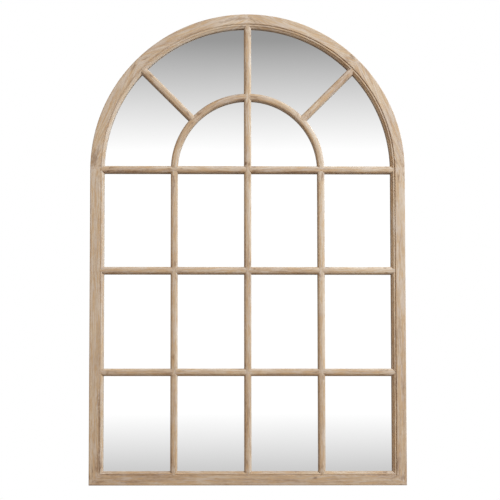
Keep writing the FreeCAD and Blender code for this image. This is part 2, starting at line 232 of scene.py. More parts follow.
class Blank:
    """A closed mesh that is lofted, cut to shape and then dressed as a piece."""

    def __init__(self, name: str, rings: Sequence[Ring], closed: bool = False) -> None:
        """Skin a run of rings.

        Args:
            name: name of the piece.
            rings: rings with the same number of points each.
            closed: whether the last ring joins the first; otherwise both ends are capped.
        """
        work = bmesh.new()
        rows = [[work.verts.new(point) for point in ring] for ring in rings]
        following = rows[1:] + rows[:1] if closed else rows[1:]
        for near, far in zip(rows, following):
            for i in range(len(near)):
                j = (i + 1) % len(near)
                work.faces.new((near[i], near[j], far[j], far[i]))
        if not closed:
            work.faces.new(rows[0][::-1])
            work.faces.new(rows[-1])
        bmesh.ops.recalc_face_normals(work, faces=work.faces)
        mesh = bpy.data.meshes.new(name)
        work.to_mesh(mesh)
        work.free()
        self.thing = stand(name, mesh)

    @property
    def mesh(self) -> bpy.types.Mesh:
        """Mesh of the blank."""
        return self.thing.data

    def spend(self) -> None:
        """Remove the blank, once it is used up."""
        mesh = self.mesh
        bpy.data.objects.remove(self.thing)
        bpy.data.meshes.remove(mesh)

    def carve(self, cutters: Iterable["Blank"]) -> "Blank":
        """Cut other blanks out of this one and use them up.

        Args:
            cutters: the blanks to cut out.

        Returns:
            This blank.
        """
        tools = list(cutters)
        for tool in tools:
            cut = self.thing.modifiers.new("cut", "BOOLEAN")
            cut.operation = "DIFFERENCE"
            cut.solver = "EXACT"
            cut.object = tool.thing
        whole = self.thing.evaluated_get(bpy.context.evaluated_depsgraph_get())
        mesh = bpy.data.meshes.new_from_object(whole)
        uncut = self.thing.data
        self.thing.modifiers.clear()
        self.thing.data = mesh
        bpy.data.meshes.remove(uncut)
        mesh.name = self.thing.name
        for tool in tools:
            tool.spend()
        return self

    def join(self, others: Iterable["Blank"]) -> "Blank":
        """Take other blanks into this one as loose parts of it.

        Args:
            others: the blanks to take in.

        Returns:
            This blank.
        """
        work = bmesh.new()
        work.from_mesh(self.mesh)
        for other in others:
            work.from_mesh(other.mesh)
            other.spend()
        work.to_mesh(self.mesh)
        work.free()
        return self

    def smooth(self, sharp_from: float = 32.0, weld: float = 2e-6) -> "Blank":
        """Weld it and shade it smooth, except at edges sharper than that many degrees."""
        work = bmesh.new()
        work.from_mesh(self.mesh)
        bmesh.ops.remove_doubles(work, verts=work.verts, dist=weld)
        for face in work.faces:
            face.smooth = True
        work.to_mesh(self.mesh)
        work.free()
        self.mesh.set_sharp_from_angle(angle=math.radians(sharp_from))
        return self

    def dress(self, materials: Sequence[bpy.types.Material], slot: Slot, body: str,
              *nodes: str) -> bpy.types.Object:
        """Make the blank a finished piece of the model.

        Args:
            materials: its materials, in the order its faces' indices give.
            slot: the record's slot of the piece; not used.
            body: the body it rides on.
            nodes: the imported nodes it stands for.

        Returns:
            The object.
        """
        self.mesh.materials.clear()
        for material in materials:
            self.mesh.materials.append(material)
        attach(self.thing, body)
        if nodes:
            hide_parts(*nodes)
        log.info("%-24s %6d faces", self.thing.name, len(self.mesh.polygons))
        return self.thing


def prism(spot: Spot, corners: Sequence[Point], y_from: float, y_to: float) -> Blank:
    """Straight-sided cutter standing on the front.

    Args:
        spot: where it stands and how it is turned.
        corners: its corners, along and across the spot's heading.
        y_from: its front.
        y_to: its back.

    Returns:
        The cutter.
    """
    places = [spot.at(along, across) for along, across in corners]
    rings = [[Vector((x, y, z)) for x, z in places] for y in (y_from, y_to)]
    return Blank("cutter", rings)


def oblong(near: float, far: float, half: float) -> List[Point]:
    """Corners of a rectangle from near to far along a heading, half to each side of it."""
    return [(near, -half), (far, -half), (far, half), (near, half)]


def bent(section: Sequence[Point], z: float, start: float, end: float, steps: int) -> List[Ring]:
    """Rings of a section bent round the point (0, z).

    Args:
        section: (radius, y) points.
        z: height of the middle of the bend.
        start: where it starts, in degrees from +X.
        end: where it ends.
        steps: steps along it.

    Returns:
        The rings.
    """
    turns = [math.radians(start + (end - start) * i / steps) for i in range(steps + 1)]
    return [[Vector((r * math.cos(t), y, z + r * math.sin(t))) for r, y in section]
            for t in turns]


def turned(name: str, x: float, z: float, profile: Sequence[Point], steps: int = 48) -> Blank:
    """Round piece about a line along Y.

    Args:
        name: its name.
        x: where the line is.
        z: where the line is.
        profile: (radius, y) points from one end to the other, with no point on the line itself.
        steps: steps round it.

    Returns:
        The blank.
    """
    turns = [math.tau * i / steps for i in range(steps)]
    rings = [[Vector((x + r * math.cos(t), y, z + r * math.sin(t))) for t in turns]
             for r, y in profile]
    return Blank(name, rings)


# ---------------------------------------------------------------- node trees

Operand = Union["Reading", float]


class Reading:
    """A number that changes over a surface; arithmetic on it adds Math nodes."""

    def __init__(self, tree: "Tree", socket: bpy.types.NodeSocket) -> None:
        """Wrap a socket of a tree."""
        self.tree = tree
        self.socket = socket

    def maths(self, operation: str, first: Operand, second: Operand = 0.0) -> "Reading":
        """Result of a Math node of that operation on two values."""
        return self.tree.add("ShaderNodeMath", {"operation": operation}, {0: first, 1: second})

    def __add__(self, other: Operand) -> "Reading":
        """This plus other."""
        return self.maths("ADD", self, other)

    def __radd__(self, other: Operand) -> "Reading":
        """Other plus this."""
        return self.maths("ADD", other, self)

    def __sub__(self, other: Operand) -> "Reading":
        """This less other."""
        return self.maths("SUBTRACT", self, other)

    def __rsub__(self, other: Operand) -> "Reading":
        """Other less this."""
        return self.maths("SUBTRACT", other, self)

    def __mul__(self, other: Operand) -> "Reading":
        """This times other."""
        return self.maths("MULTIPLY", self, other)

    def __rmul__(self, other: Operand) -> "Reading":
        """Other times this."""
        return self.maths("MULTIPLY", other, self)

    def __truediv__(self, other: Operand) -> "Reading":
        """This over other."""
        return self.maths("DIVIDE", self, other)

    def highest(self, other: Operand) -> "Reading":
        """The larger of this and other."""
        return self.maths("MAXIMUM", self, other)

    def between(self, low: float, high: float) -> "Reading":
        """Rise smoothly from 0 at low to 1 at high."""
        settings = {"interpolation_type": "SMOOTHSTEP"}
        return self.tree.add("ShaderNodeMapRange", settings, {0: self, 1: low, 2: high})


def length(x: Reading, y: Reading) -> Reading:
    """Length of the flat vector (x, y)."""
    square = x * x + y * y
    return square.maths("SQRT", square)


class Tree:
    """Nodes of one material or of the world."""

    def __init__(self, owner: Union[bpy.types.Material, bpy.types.World]) -> None:
        """Empty the owner's tree and take it over."""
        owner.use_nodes = True
        self.tree = owner.node_tree
        self.tree.nodes.clear()

    def add(self, kind: str, settings: Mapping[str, Any], inputs: Mapping[Union[int, str], Any],
            output: Union[int, str] = 0) -> Reading:
        """Add any node.

        Args:
            kind: the node's type.
            settings: its settings, set first; "stops" are a ramp's (place, colour) pairs.
            inputs: values, readings or sockets by socket name or number.
            output: the socket to read.

        Returns:
            A reading of that output.
        """
        node = self.tree.nodes.new(kind)
        for key, value in settings.items():
            if key == "stops":
                self.stops(node.color_ramp, value)
            else:
                setattr(node, key, value)
        for key, value in inputs.items():
            socket = node.inputs[key]
            if isinstance(value, Reading):
                self.tree.links.new(value.socket, socket)
            elif socket.type == "RGBA":
                socket.default_value = (*value, 1.0)
            else:
                socket.default_value = value
        return Reading(self, node.outputs[output]) if node.outputs else Reading(self, None)

    @staticmethod
    def stops(ramp: bpy.types.ColorRamp, stops: Sequence[Tuple[float, Colour]]) -> None:
        """Set a ramp's stops, given in rising order."""
        ramp.elements[0].position = stops[0][0]
        ramp.elements[1].position = stops[-1][0]
        for place, _ in stops[1:-1]:
            ramp.elements.new(place)
        for element, (_, colour) in zip(ramp.elements, stops):
            element.color = (*colour, 1.0)

    def attribute(self, name: str) -> Reading:
        """Read a vector that the mesh carries."""
        return self.add("ShaderNodeAttribute", {"attribute_name": name}, {}, "Vector")

    def place(self) -> Reading:
        """Where on the mirror the surface is, in metres."""
        return self.add("ShaderNodeTexCoord", {}, {}, "Object")

    def rays(self) -> Tuple[Reading, Reading]:
        """Whether the ray is the camera's own, and whether it is glossy or has come through."""
        kinds = ("Is Camera Ray", "Is Glossy Ray", "Is Transmission Ray")
        camera, glossy, through = (self.add("ShaderNodeLightPath", {}, {}, kind) for kind in kinds)
        return camera, glossy.highest(through)

    def ramp(self, value: Reading, stops: Sequence[Tuple[float, Colour]]) -> Reading:
        """Colour by value."""
        return self.add("ShaderNodeValToRGB", {"stops": stops}, {0: value})

    def parts(self, vector: Reading) -> Tuple[Reading, Reading, Reading]:
        """Three numbers of a vector."""
        split = self.add("ShaderNodeSeparateXYZ", {}, {0: vector})
        outputs = split.socket.node.outputs
        return Reading(self, outputs[0]), Reading(self, outputs[1]), Reading(self, outputs[2])

    def vector(self, x: Operand, y: Operand, z: Operand) -> Reading:
        """Vector of three numbers."""
        return self.add("ShaderNodeCombineXYZ", {}, {0: x, 1: y, 2: z})

    def stretched(self, vector: Reading, scale: Colour) -> Reading:
        """Vector times a scale for each axis."""
        return self.add("ShaderNodeVectorMath", {"operation": "MULTIPLY"}, {0: vector, 1: scale})

    def moved(self, vector: Reading, by: Reading) -> Reading:
        """Vector plus another."""
        return self.add("ShaderNodeVectorMath", {"operation": "ADD"}, {0: vector, 1: by})

    def noise(self, vector: Reading, scale: Colour, detail: float = 2.0,
              roughness: float = 0.5) -> Reading:
        """Cloudy noise, from 0 to 1 about a half.

        Args:
            vector: where it is read.
            scale: how many clouds to the metre along each axis.
            detail: octaves.
            roughness: weight of the finer octaves.

        Returns:
            The noise.
        """
        inputs = {"Vector": self.stretched(vector, scale), "Scale": 1.0, "Detail": detail,
                  "Roughness": roughness}
        return self.add("ShaderNodeTexNoise", {}, inputs)

    def mix(self, factor: Operand, below: Union[Reading, Colour],
            above: Union[Reading, Colour]) -> Reading:
        """One colour with another laid over it, of which the factor's share shows."""
        inputs = {0: factor, 6: below, 7: above}
        return self.add("ShaderNodeMix", {"data_type": "RGBA"}, inputs, 2)

    def bump(self, height: Reading, distance: float, strength: float = 1.0) -> Reading:
        """Normal of a surface with that height."""
        inputs = {"Strength": strength, "Distance": distance, "Height": height}
        return self.add("ShaderNodeBump", {}, inputs)


# ---------------------------------------------------------------- finishes

class Finish:
    """A finish; its material bears its name."""

    name: ClassVar[str]

    def make(self) -> bpy.types.Material:
        """Build the material."""
        material = bpy.data.materials.new(self.name)
        tree = Tree(material)
        shader = tree.add("ShaderNodeBsdfPrincipled", {}, self.inputs(tree))
        tree.add("ShaderNodeOutputMaterial", {}, {"Surface": shader})
        return material

    def inputs(self, tree: Tree) -> Dict[str, Any]:
        """Inputs of the finish's Principled shader."""
        raise NotImplementedError


@dataclass(frozen=True)
class Stain:
    """A brown streak or a knot in the wood's front: where, how large, how it lies, how dark."""

    x: float
    z: float
    long: float
    wide: float
    heading: float = 0.0
    brown: float = 0.5
    heart: float = 0.0


# The front's stronger stains, near where the photographed mirror has them.
STAINS: Tuple[Stain, ...] = tuple(Stain(*sizes) for sizes in (
    (-0.390, 0.828, 0.026, 0.008, 84, 0.55), (-0.381, 0.845, 0.020, 0.004, 76, 0.45),
    (-0.356, 0.7948, 0.010, 0.0032, 0, 0.85, 0.35), (-0.300, 0.7950, 0.040, 0.0028, 0, 0.60),
    (-0.1873, 0.770, 0.014, 0.0030, 90, 0.60), (-0.1895, 0.745, 0.012, 0.0022, 90, 0.5),
    (-0.1889, 0.3226, 0.009, 0.0030, 90, 0.55), (-0.0050, 0.8150, 0.005, 0.0045, 60, 0.85, 0.3),
    (0.0050, 0.8135, 0.004, 0.0030, 120, 0.7), (0.018, 0.796, 0.009, 0.0035, 0, 0.6),
    (-0.373, 0.0095, 0.022, 0.0026, 0, 0.6), (-0.290, 0.0085, 0.034, 0.0024, 0, 0.5),
    (-0.372, 0.045, 0.016, 0.0040, 82, 0.6), (-0.0245, 1.1878, 0.034, 0.0045, 4, 0.45),
    (-0.060, 1.1800, 0.020, 0.0030, 10, 0.40), (0.267, 1.090, 0.010, 0.0060, -45, 0.5, 0.25),
    (0.255, 1.083, 0.012, 0.0040, -45, 0.40), (0.1685, 0.0184, 0.006, 0.0050, 0, 0.55, 0.4),
    (-0.0042, 1.043, 0.040, 0.0024, 90, 0.50), (0.385, 0.380, 0.060, 0.0050, 90, 0.25),
    (0.376, 0.050, 0.022, 0.0050, 84, 0.50), (0.388, 0.018, 0.010, 0.0060, 45, 0.50),
    (-0.3745, 0.150, 0.100, 0.0026, 90, 0.60), (-0.3765, 0.060, 0.030, 0.0040, 88, 0.55),
    (-0.3780, 0.210, 0.030, 0.0030, 92, 0.40), (0.3735, 0.250, 0.050, 0.0030, 91, 0.45)))


@dataclass(frozen=True)
class LimewashedFir(Finish):
    """Brushed fir, stained a warm tan and wiped with lime that stays in its grain."""

    name: ClassVar[str] = Slot.FIR.value
    cream: Colour = (0.640, 0.520, 0.395)
    sand: Colour = (0.520, 0.390, 0.270)
    tan: Colour = (0.415, 0.285, 0.190)
    brown: Colour = (0.235, 0.138, 0.085)
    amber: Colour = (0.520, 0.338, 0.190)
    lime: Colour = (0.595, 0.505, 0.445)
    dirt_and_shade: Colour = (0.150, 0.095, 0.060)
    # Colour of the dirt and of the painted shade, and of the knots' hearts.
    raw: Colour = (0.560, 0.400, 0.235)
    stains: Tuple[Stain, ...] = STAINS

    def inputs(self, tree: Tree) -> Dict[str, Any]:
        """Colour, roughness and relief of the wood.

        Args:
            tree: the material's tree.

        Returns:
            The shader's inputs.  They read the attributes "grain", metres along, across and deep
            in the plank, "wash", its tone with painted light and shade, its dirt with
            painted shade, and its bareness, and "joint", metres from a joint.
        """
        grain = tree.attribute("grain")
        tone, dirt_and_shade, bare = tree.parts(tree.attribute("wash"))
        near_joint = tree.add("ShaderNodeAttribute", {"attribute_name": "joint"}, {}, "Fac")
        # The grain wanders a little, and every noise is drawn out along it.
        sway = tree.noise(grain, (7.0, 22.0, 22.0), 2.0)
        drift = tree.vector(0.0, (sway - 0.5) * 0.016, (sway - 0.5) * 0.010)
        wandering = tree.moved(grain, drift)
        rings = tree.noise(wandering, (4.0, 150.0, 90.0), 4.0, 0.62)
        fibre = tree.noise(wandering, (20.0, 400.0, 300.0), 3.0, 0.6)
        hair = tree.noise(grain, (60.0, 1500.0, 1200.0), 2.0, 0.6)
        mottle = tree.noise(grain, (120.0, 300.0, 300.0), 3.0, 0.6)
        tint = tree.noise(wandering, (24.0, 300.0, 220.0), 4.0, 0.70)
        patch = tree.noise(grain, (18.0, 60.0, 60.0), 3.0, 0.6)
        cloud = tree.noise(grain, (5.0, 11.0, 11.0), 2.0)
        # Stained wood, dark to pale; then its amber streaks, the lime and the dark late lines.
        streak = rings * 0.36 + fibre * 0.32 + mottle * 0.20 + hair * 0.12
        # tone carries the plank's own tone and the painted light and shade that the pieces lay in
        # it.
        shade = streak + (cloud - 0.5) * 0.20 + tone * 0.10
        stops = [(0.33, self.brown), (0.43, self.tan), (0.52, self.sand), (0.62, self.cream)]
        wood = tree.ramp(shade, stops)
        late = rings.between(0.50, 0.64)
        wood = tree.mix(tint.between(0.48, 0.61) * 0.70, wood, self.amber)
        lime = ((1.0 - tint) * 0.65 + patch * 0.35 + tone * 0.06).between(0.46, 0.62)
        wood = tree.mix(lime * 0.55, wood, self.lime)
        line = fibre.between(0.58, 0.70) * late
        wood = tree.mix(line * 0.40, wood, self.brown)
        # Pale filler in the joints, and brown blotches where the lime was wiped off round them.
        filler = (1.0 - near_joint.between(0.002, 0.012)) * mottle.between(0.40, 0.60)
        wood = tree.mix(filler * 0.35, wood, self.lime)
        ring_at_joint = near_joint.between(0.004, 0.010) * (1.0 - near_joint.between(0.016, 0.040))
        blotch = tree.noise(grain, (46.0, 150.0, 150.0), 3.0, 0.6).between(0.52, 0.68)
        wood = tree.mix(ring_at_joint * blotch * 0.7, wood, self.brown)
        x, _, z = tree.parts(tree.place())
        for stain in self.stains:
            wood = self.with_stain(tree, wood, stain, (x, z), mottle)
        # Dirt and painted shade lie over all that; the back is bare wood.
        wood = tree.mix(dirt_and_shade * 0.75, wood, self.dirt_and_shade)
        raw = tree.mix(late * 0.6 + fibre * 0.25, self.raw, self.tan)
        worn = (bare + (patch - 0.5) * 0.5).between(0.35, 0.65)
        wood = tree.mix(worn, wood, raw)
        height = rings * 0.5 + fibre * 0.35 + hair * 0.25
        rough = 0.62 + (fibre - 0.5) * 0.3 - late * 0.08
        return {"Base Color": wood, "Roughness": rough, "Specular IOR Level": 0.32,
                "Normal": tree.bump(height, 0.0007, 0.55)}

    def with_stain(self, tree: Tree, wood: Reading, stain: Stain,
                   place: Tuple[Reading, Reading], mottle: Reading) -> Reading:
        """Stain a streak or a knot into the wood.

        Args:
            tree: the material's tree.
            wood: the colour so far.
            stain: what to add.
            place: x and z of the wood.
            mottle: fine noise that frays it.

        Returns:
            The colour with it.
        """
        turn = math.radians(stain.heading)
        dx, dz = place[0] - stain.x, place[1] - stain.z
        along = (dx * math.cos(turn) + dz * math.sin(turn)) / stain.long
        across = (dz * math.cos(turn) - dx * math.sin(turn)) / stain.wide
        away = length(along, across) + (mottle - 0.5) * 2.2
        wood = tree.mix((1.0 - away.between(0.30, 1.25)) * stain.brown, wood, self.brown)
        if stain.heart:
            wood = tree.mix((1.0 - away.between(0.10, 0.65)) * stain.heart, wood, self.dirt_and_shade)
        return wood


@dataclass(frozen=True)
class Silvering(Finish):
    """Silvered face of the mirror plate."""

    name: ClassVar[str] = "mirror_silver"
    silver: Colour = (0.944, 0.944, 0.944)
    haze: Colour = (0.930, 0.930, 0.930)

    def inputs(self, tree: Tree) -> Dict[str, Any]:
        """Colour and gloss of the silver."""
        place = tree.place()
        film = tree.noise(place, (3.0, 3.0, 5.0), 3.0)
        return {"Base Color": tree.mix(film.between(0.35, 0.75), self.silver, self.haze),
                "Metallic": 1.0, "Roughness": film * 0.012 + 0.004}


@dataclass(frozen=True)
class BackPaint(Finish):
    """Grey paint over the silvering, and the ground edge of the plate."""

    name: ClassVar[str] = "mirror_paint"
    paint: Colour = (0.180, 0.185, 0.190)
    thin: Colour = (0.235, 0.240, 0.240)

    def inputs(self, tree: Tree) -> Dict[str, Any]:
        """Colour and relief of the rolled paint."""
        place = tree.place()
        roller = tree.noise(place, (40.0, 40.0, 6.0), 4.0)
        return {"Base Color": tree.mix(roller, self.paint, self.thin),
                "Roughness": roller * 0.2 + 0.45, "Normal": tree.bump(roller, 0.0002, 0.4)}


@dataclass(frozen=True)
class Hardboard(Finish):
    """Pressed fibre board: brown, with paler and darker fibres lying every way."""

    name: ClassVar[str] = Slot.BOARD.value
    brown: Colour = (0.265, 0.155, 0.082)
    pale: Colour = (0.375, 0.240, 0.140)
    dark: Colour = (0.150, 0.085, 0.045)

    def inputs(self, tree: Tree) -> Dict[str, Any]:
        """Colour and relief of the fibres."""
        place = tree.place()
        cloud = tree.noise(place, (5.0, 5.0, 5.0), 3.0)
        flock = tree.noise(place, (230.0, 230.0, 230.0), 5.0, 0.75)
        lying = tree.noise(place, (900.0, 900.0, 160.0), 3.0, 0.6)
        standing = tree.noise(place, (160.0, 900.0, 900.0), 3.0, 0.6)
        fibres = lying.highest(standing)
        colour = tree.mix(cloud.between(0.3, 0.7) * 0.22, self.brown, self.pale)
        colour = tree.mix(fibres.between(0.54, 0.76) * 0.35, colour, self.pale)
        colour = tree.mix(flock.between(0.44, 0.70) * 0.45, colour, self.dark)
        return {"Base Color": colour, "Roughness": 0.55 + flock * 0.25,
                "Normal": tree.bump(fibres + flock * 0.6, 0.0003, 0.5)}


@dataclass(frozen=True)
class ZincSteel(Finish):
    """Bright zinc plating over rolled steel, a little dulled and scuffed."""

    name: ClassVar[str] = Slot.STEEL.value
    zinc: Colour = (0.640, 0.640, 0.620)
    dull: Colour = (0.430, 0.435, 0.430)

    def inputs(self, tree: Tree) -> Dict[str, Any]:
        """Colour, gloss and rolling marks of the plating."""
        place = tree.place()
        bloom = tree.noise(place, (380.0, 380.0, 380.0), 4.0, 0.65)
        rolled = tree.noise(place, (2200.0, 900.0, 130.0), 3.0)
        spent = bloom.between(0.42, 0.68)
        return {"Base Color": tree.mix(spent * 0.7, self.zinc, self.dull), "Metallic": 1.0,
                "Roughness": 0.26 + spent * 0.2 + (rolled - 0.5) * 0.18,
                "Normal": tree.bump(rolled + bloom, 0.00004, 0.5)}


@dataclass(frozen=True)
class Rubber(Finish):
    """Moulded black rubber with a dusty bloom."""

    name: ClassVar[str] = Slot.RUBBER.value
    black: Colour = (0.020, 0.020, 0.021)
    bloom: Colour = (0.075, 0.073, 0.070)

    def inputs(self, tree: Tree) -> Dict[str, Any]:
        """Colour and pores of the rubber."""
        place = tree.place()
        dust = tree.noise(place, (420.0, 420.0, 420.0), 4.0, 0.6)
        pores = tree.noise(place, (2600.0, 2600.0, 2600.0), 2.0)
        return {"Base Color": tree.mix(dust.between(0.40, 0.75), self.black, self.bloom),
                "Roughness": 0.62 + dust * 0.2, "Normal": tree.bump(pores, 0.00008, 0.6)}


@dataclass(frozen=True)
class Beech(Finish):
    """Bare beech with its short flecks."""

    name: ClassVar[str] = Slot.BEECH.value
    pale: Colour = (0.590, 0.400, 0.235)
    fleck: Colour = (0.380, 0.215, 0.105)

    def inputs(self, tree: Tree) -> Dict[str, Any]:
        """Colour and flecks of the beech."""
        place = tree.place()
        flecks = tree.noise(place, (300.0, 900.0, 900.0), 3.0, 0.6)
        cloud = tree.noise(place, (30.0, 60.0, 60.0), 3.0)
        colour = tree.mix(flecks.between(0.58, 0.68) * 0.7, self.pale, self.fleck)
        return {"Base Color": tree.mix(cloud * 0.25, colour, self.fleck),
                "Roughness": 0.6 + cloud * 0.15, "Normal": tree.bump(flecks, 0.0002, 0.4)}


# ---------------------------------------------------------------- wood

@dataclass(frozen=True)
class Plank:
    """The board that a piece is sawn from: how its grain lies and how it took the stain."""

    spot: Spot
    seed: float
    tone: float = 0.0
    bend: float = 0.0
    seed_step: ClassVar[Colour] = (1.713, 0.417, 0.291)

    def lying(self, point: Vector) -> Point:
        """How far along and across the board a point is; a bent board's grain follows its bend."""
        if not self.bend:
            return self.spot.seen(point.x, point.z)
        dx, dz = point.x - self.spot.x, point.z - self.spot.z
        return self.bend * math.atan2(dz, dx), math.hypot(dx, dz) - self.bend

    def grain(self, point: Vector) -> List[float]:
        """How far along, across and deep a point is, moved on by the board's seed."""
        return [n + step * self.seed for n, step in zip((*self.lying(point), point.y),
                                                        self.seed_step)]


def grow(blank: Blank, plank: Plank, wash: Callable[[Vector], Colour],
         joint: Callable[[Vector], float]) -> None:
    """Write a wooden piece's attributes.

    Args:
        blank: the piece.
        plank: the board it is sawn from.
        wash: gives how much paler a point is, with painted light and shade, how dirty, with painted
            shade, and how bare.
        joint: gives how far a point is from the nearest joint.
    """
    points = [vertex.co.copy() for vertex in blank.mesh.vertices]
    # The paleness adds painted light and shade to the plank's tone; the dirt holds painted shade
    # too.
    washed_and_shaded = [(plank.tone + pale, dirt_and_shade, bare) for pale, dirt_and_shade, bare in map(wash, points)]
    lay(blank, "grain", "FLOAT_VECTOR", [n for point in points for n in plank.grain(point)])
    lay(blank, "wash", "FLOAT_VECTOR", [n for values in washed_and_shaded for n in values])
    lay(blank, "joint", "FLOAT", [min(joint(point), 0.05) for point in points])


def lay(blank: Blank, name: str, kind: str, values: Sequence[float]) -> None:
    """Store an attribute of that name and kind on a blank, its numbers given point by point."""
    attribute = blank.mesh.attributes.new(name, kind, "POINT")
    attribute.data.foreach_set("value" if kind == "FLOAT" else "vector", values)


def fade(distance: float, reach: float) -> float:
    """Fall from 1 at no distance to 0 at reach."""
    return max(0.0, 1.0 - distance / reach)


# ---------------------------------------------------------------- ends of the glazing bars

@dataclass(frozen=True)
class Tongue:
    """End of a bar: shoulders mitred against the other moulding, a flat that runs on into it."""

    layout: Layout
    spot: Spot
    reach: float
    clearance: float = 0.00012
    far: float = 0.030
    behind: float = 0.0004

    def room(self) -> Blank:
        """Room for it in the piece it enters, a hair wider so that the joint shows."""
        size, gap = self.layout, self.clearance
        tip = size.flat_half + gap
        root = size.bar_half + size.overrun + 2 * gap
        side = [(-size.overrun, root), (size.shoulder + gap, tip)]
        if self.reach > size.shoulder:
            side.append((self.reach + gap, tip))
        corners = side + [(along, -across) for along, across in reversed(side)]
        return prism(self.spot, corners, size.front - size.overrun, size.halving + gap)

    def waste(self) -> List[Blank]:
        """What is cut off the bar to leave it."""
        size = self.layout
        front, back = size.front - size.overrun, size.back
        far, wide = self.far, size.bar_half + size.overrun
        cutters = []
        for way in (-1, 1):
            wedge = [(-size.overrun, way * wide), (size.shoulder, way * size.flat_half),
                     (far, way * size.flat_half), (far, way * wide)]
            cutters.append(prism(self.spot, wedge, front, back))
        cutters.append(prism(self.spot, oblong(self.reach, far, wide), front, back))
        cutters.append(prism(self.spot, oblong(self.behind, far, wide), size.halving, back))
        return cutters


@dataclass(frozen=True)
class Joinery:
    """Where the bars' ends go."""

    layout: Layout
    heading: float = 45.0
    drop: float = 0.0075

    def into_frame(self, x: float, z: float, heading: float) -> Tongue:
        """End that runs into the frame's bead at (x, z)."""
        return Tongue(self.layout, Spot(x, z, heading), self.layout.bead_reach)

    def onto_bar(self, x: float, z: float, heading: float) -> Tongue:
        """End that meets another bar's shoulder at (x, z)."""
        return Tongue(self.layout, Spot(x, z, heading), self.layout.shoulder)

    def foot(self, x: float) -> Tongue:
        """Upright into the bottom rail."""
        return self.into_frame(x, self.layout.frame_width, -90)

    def crown(self) -> Tongue:
        """Centre bar into the arch."""
        return self.into_frame(0, self.layout.spring + self.layout.sight, 90)

    def side(self, side: Side, z: float) -> Tongue:
        """Level bar into a stile."""
        return self.into_frame(side.value * self.layout.sight, z, 90 - side.value * 90)

    def crossing(self, x: float, z: float) -> List[Tongue]:
        """Front halves of a level bar against an upright."""
        return [self.onto_bar(x - side.value * self.layout.bar_half, z, 90 - side.value * 90)
                for side in Side]

    def head(self, side: Side) -> Tongue:
        """Outer upright under the transom."""
        size = self.layout
        return self.onto_bar(side.value * size.pitch, size.spring - size.bar_half, 90)

    def springer(self, side: Side) -> Tongue:
        """Inner arch on the transom."""
        size = self.layout
        return self.onto_bar(side.value * size.pitch, size.spring + size.bar_half, -90)

    def inner_crown(self, side: Side) -> Tongue:
        """Inner arch against the centre bar."""
        size = self.layout
        return self.onto_bar(side.value * size.bar_half, size.spring + size.pitch,
                             90 + side.value * 90)

    def outward(self, side: Side) -> float:
        """Heading of a diagonal away from the arch's middle."""
        return 90 - side.value * (90 - self.heading)

    def meeting(self, side: Side, radius: float) -> Point:
        """Where a diagonal's middle line meets a circle about the arch's middle."""
        turn = math.radians(self.heading)
        along = math.sqrt(radius ** 2 - self.drop ** 2)
        x = along * math.cos(turn) + self.drop * math.sin(turn)
        z = along * math.sin(turn) - self.drop * math.cos(turn)
        return side.value * x, self.layout.spring + z

    def diagonal_outer(self, side: Side) -> Tongue:
        """Diagonal into the arch."""
        return self.into_frame(*self.meeting(side, self.layout.sight), self.outward(side))

    def diagonal_inner(self, side: Side) -> Tongue:
        """Diagonal into the inner arch."""
        edge = self.layout.pitch + self.layout.bar_half
        return self.onto_bar(*self.meeting(side, edge), self.outward(side) + 180)


# ---------------------------------------------------------------- outer frame

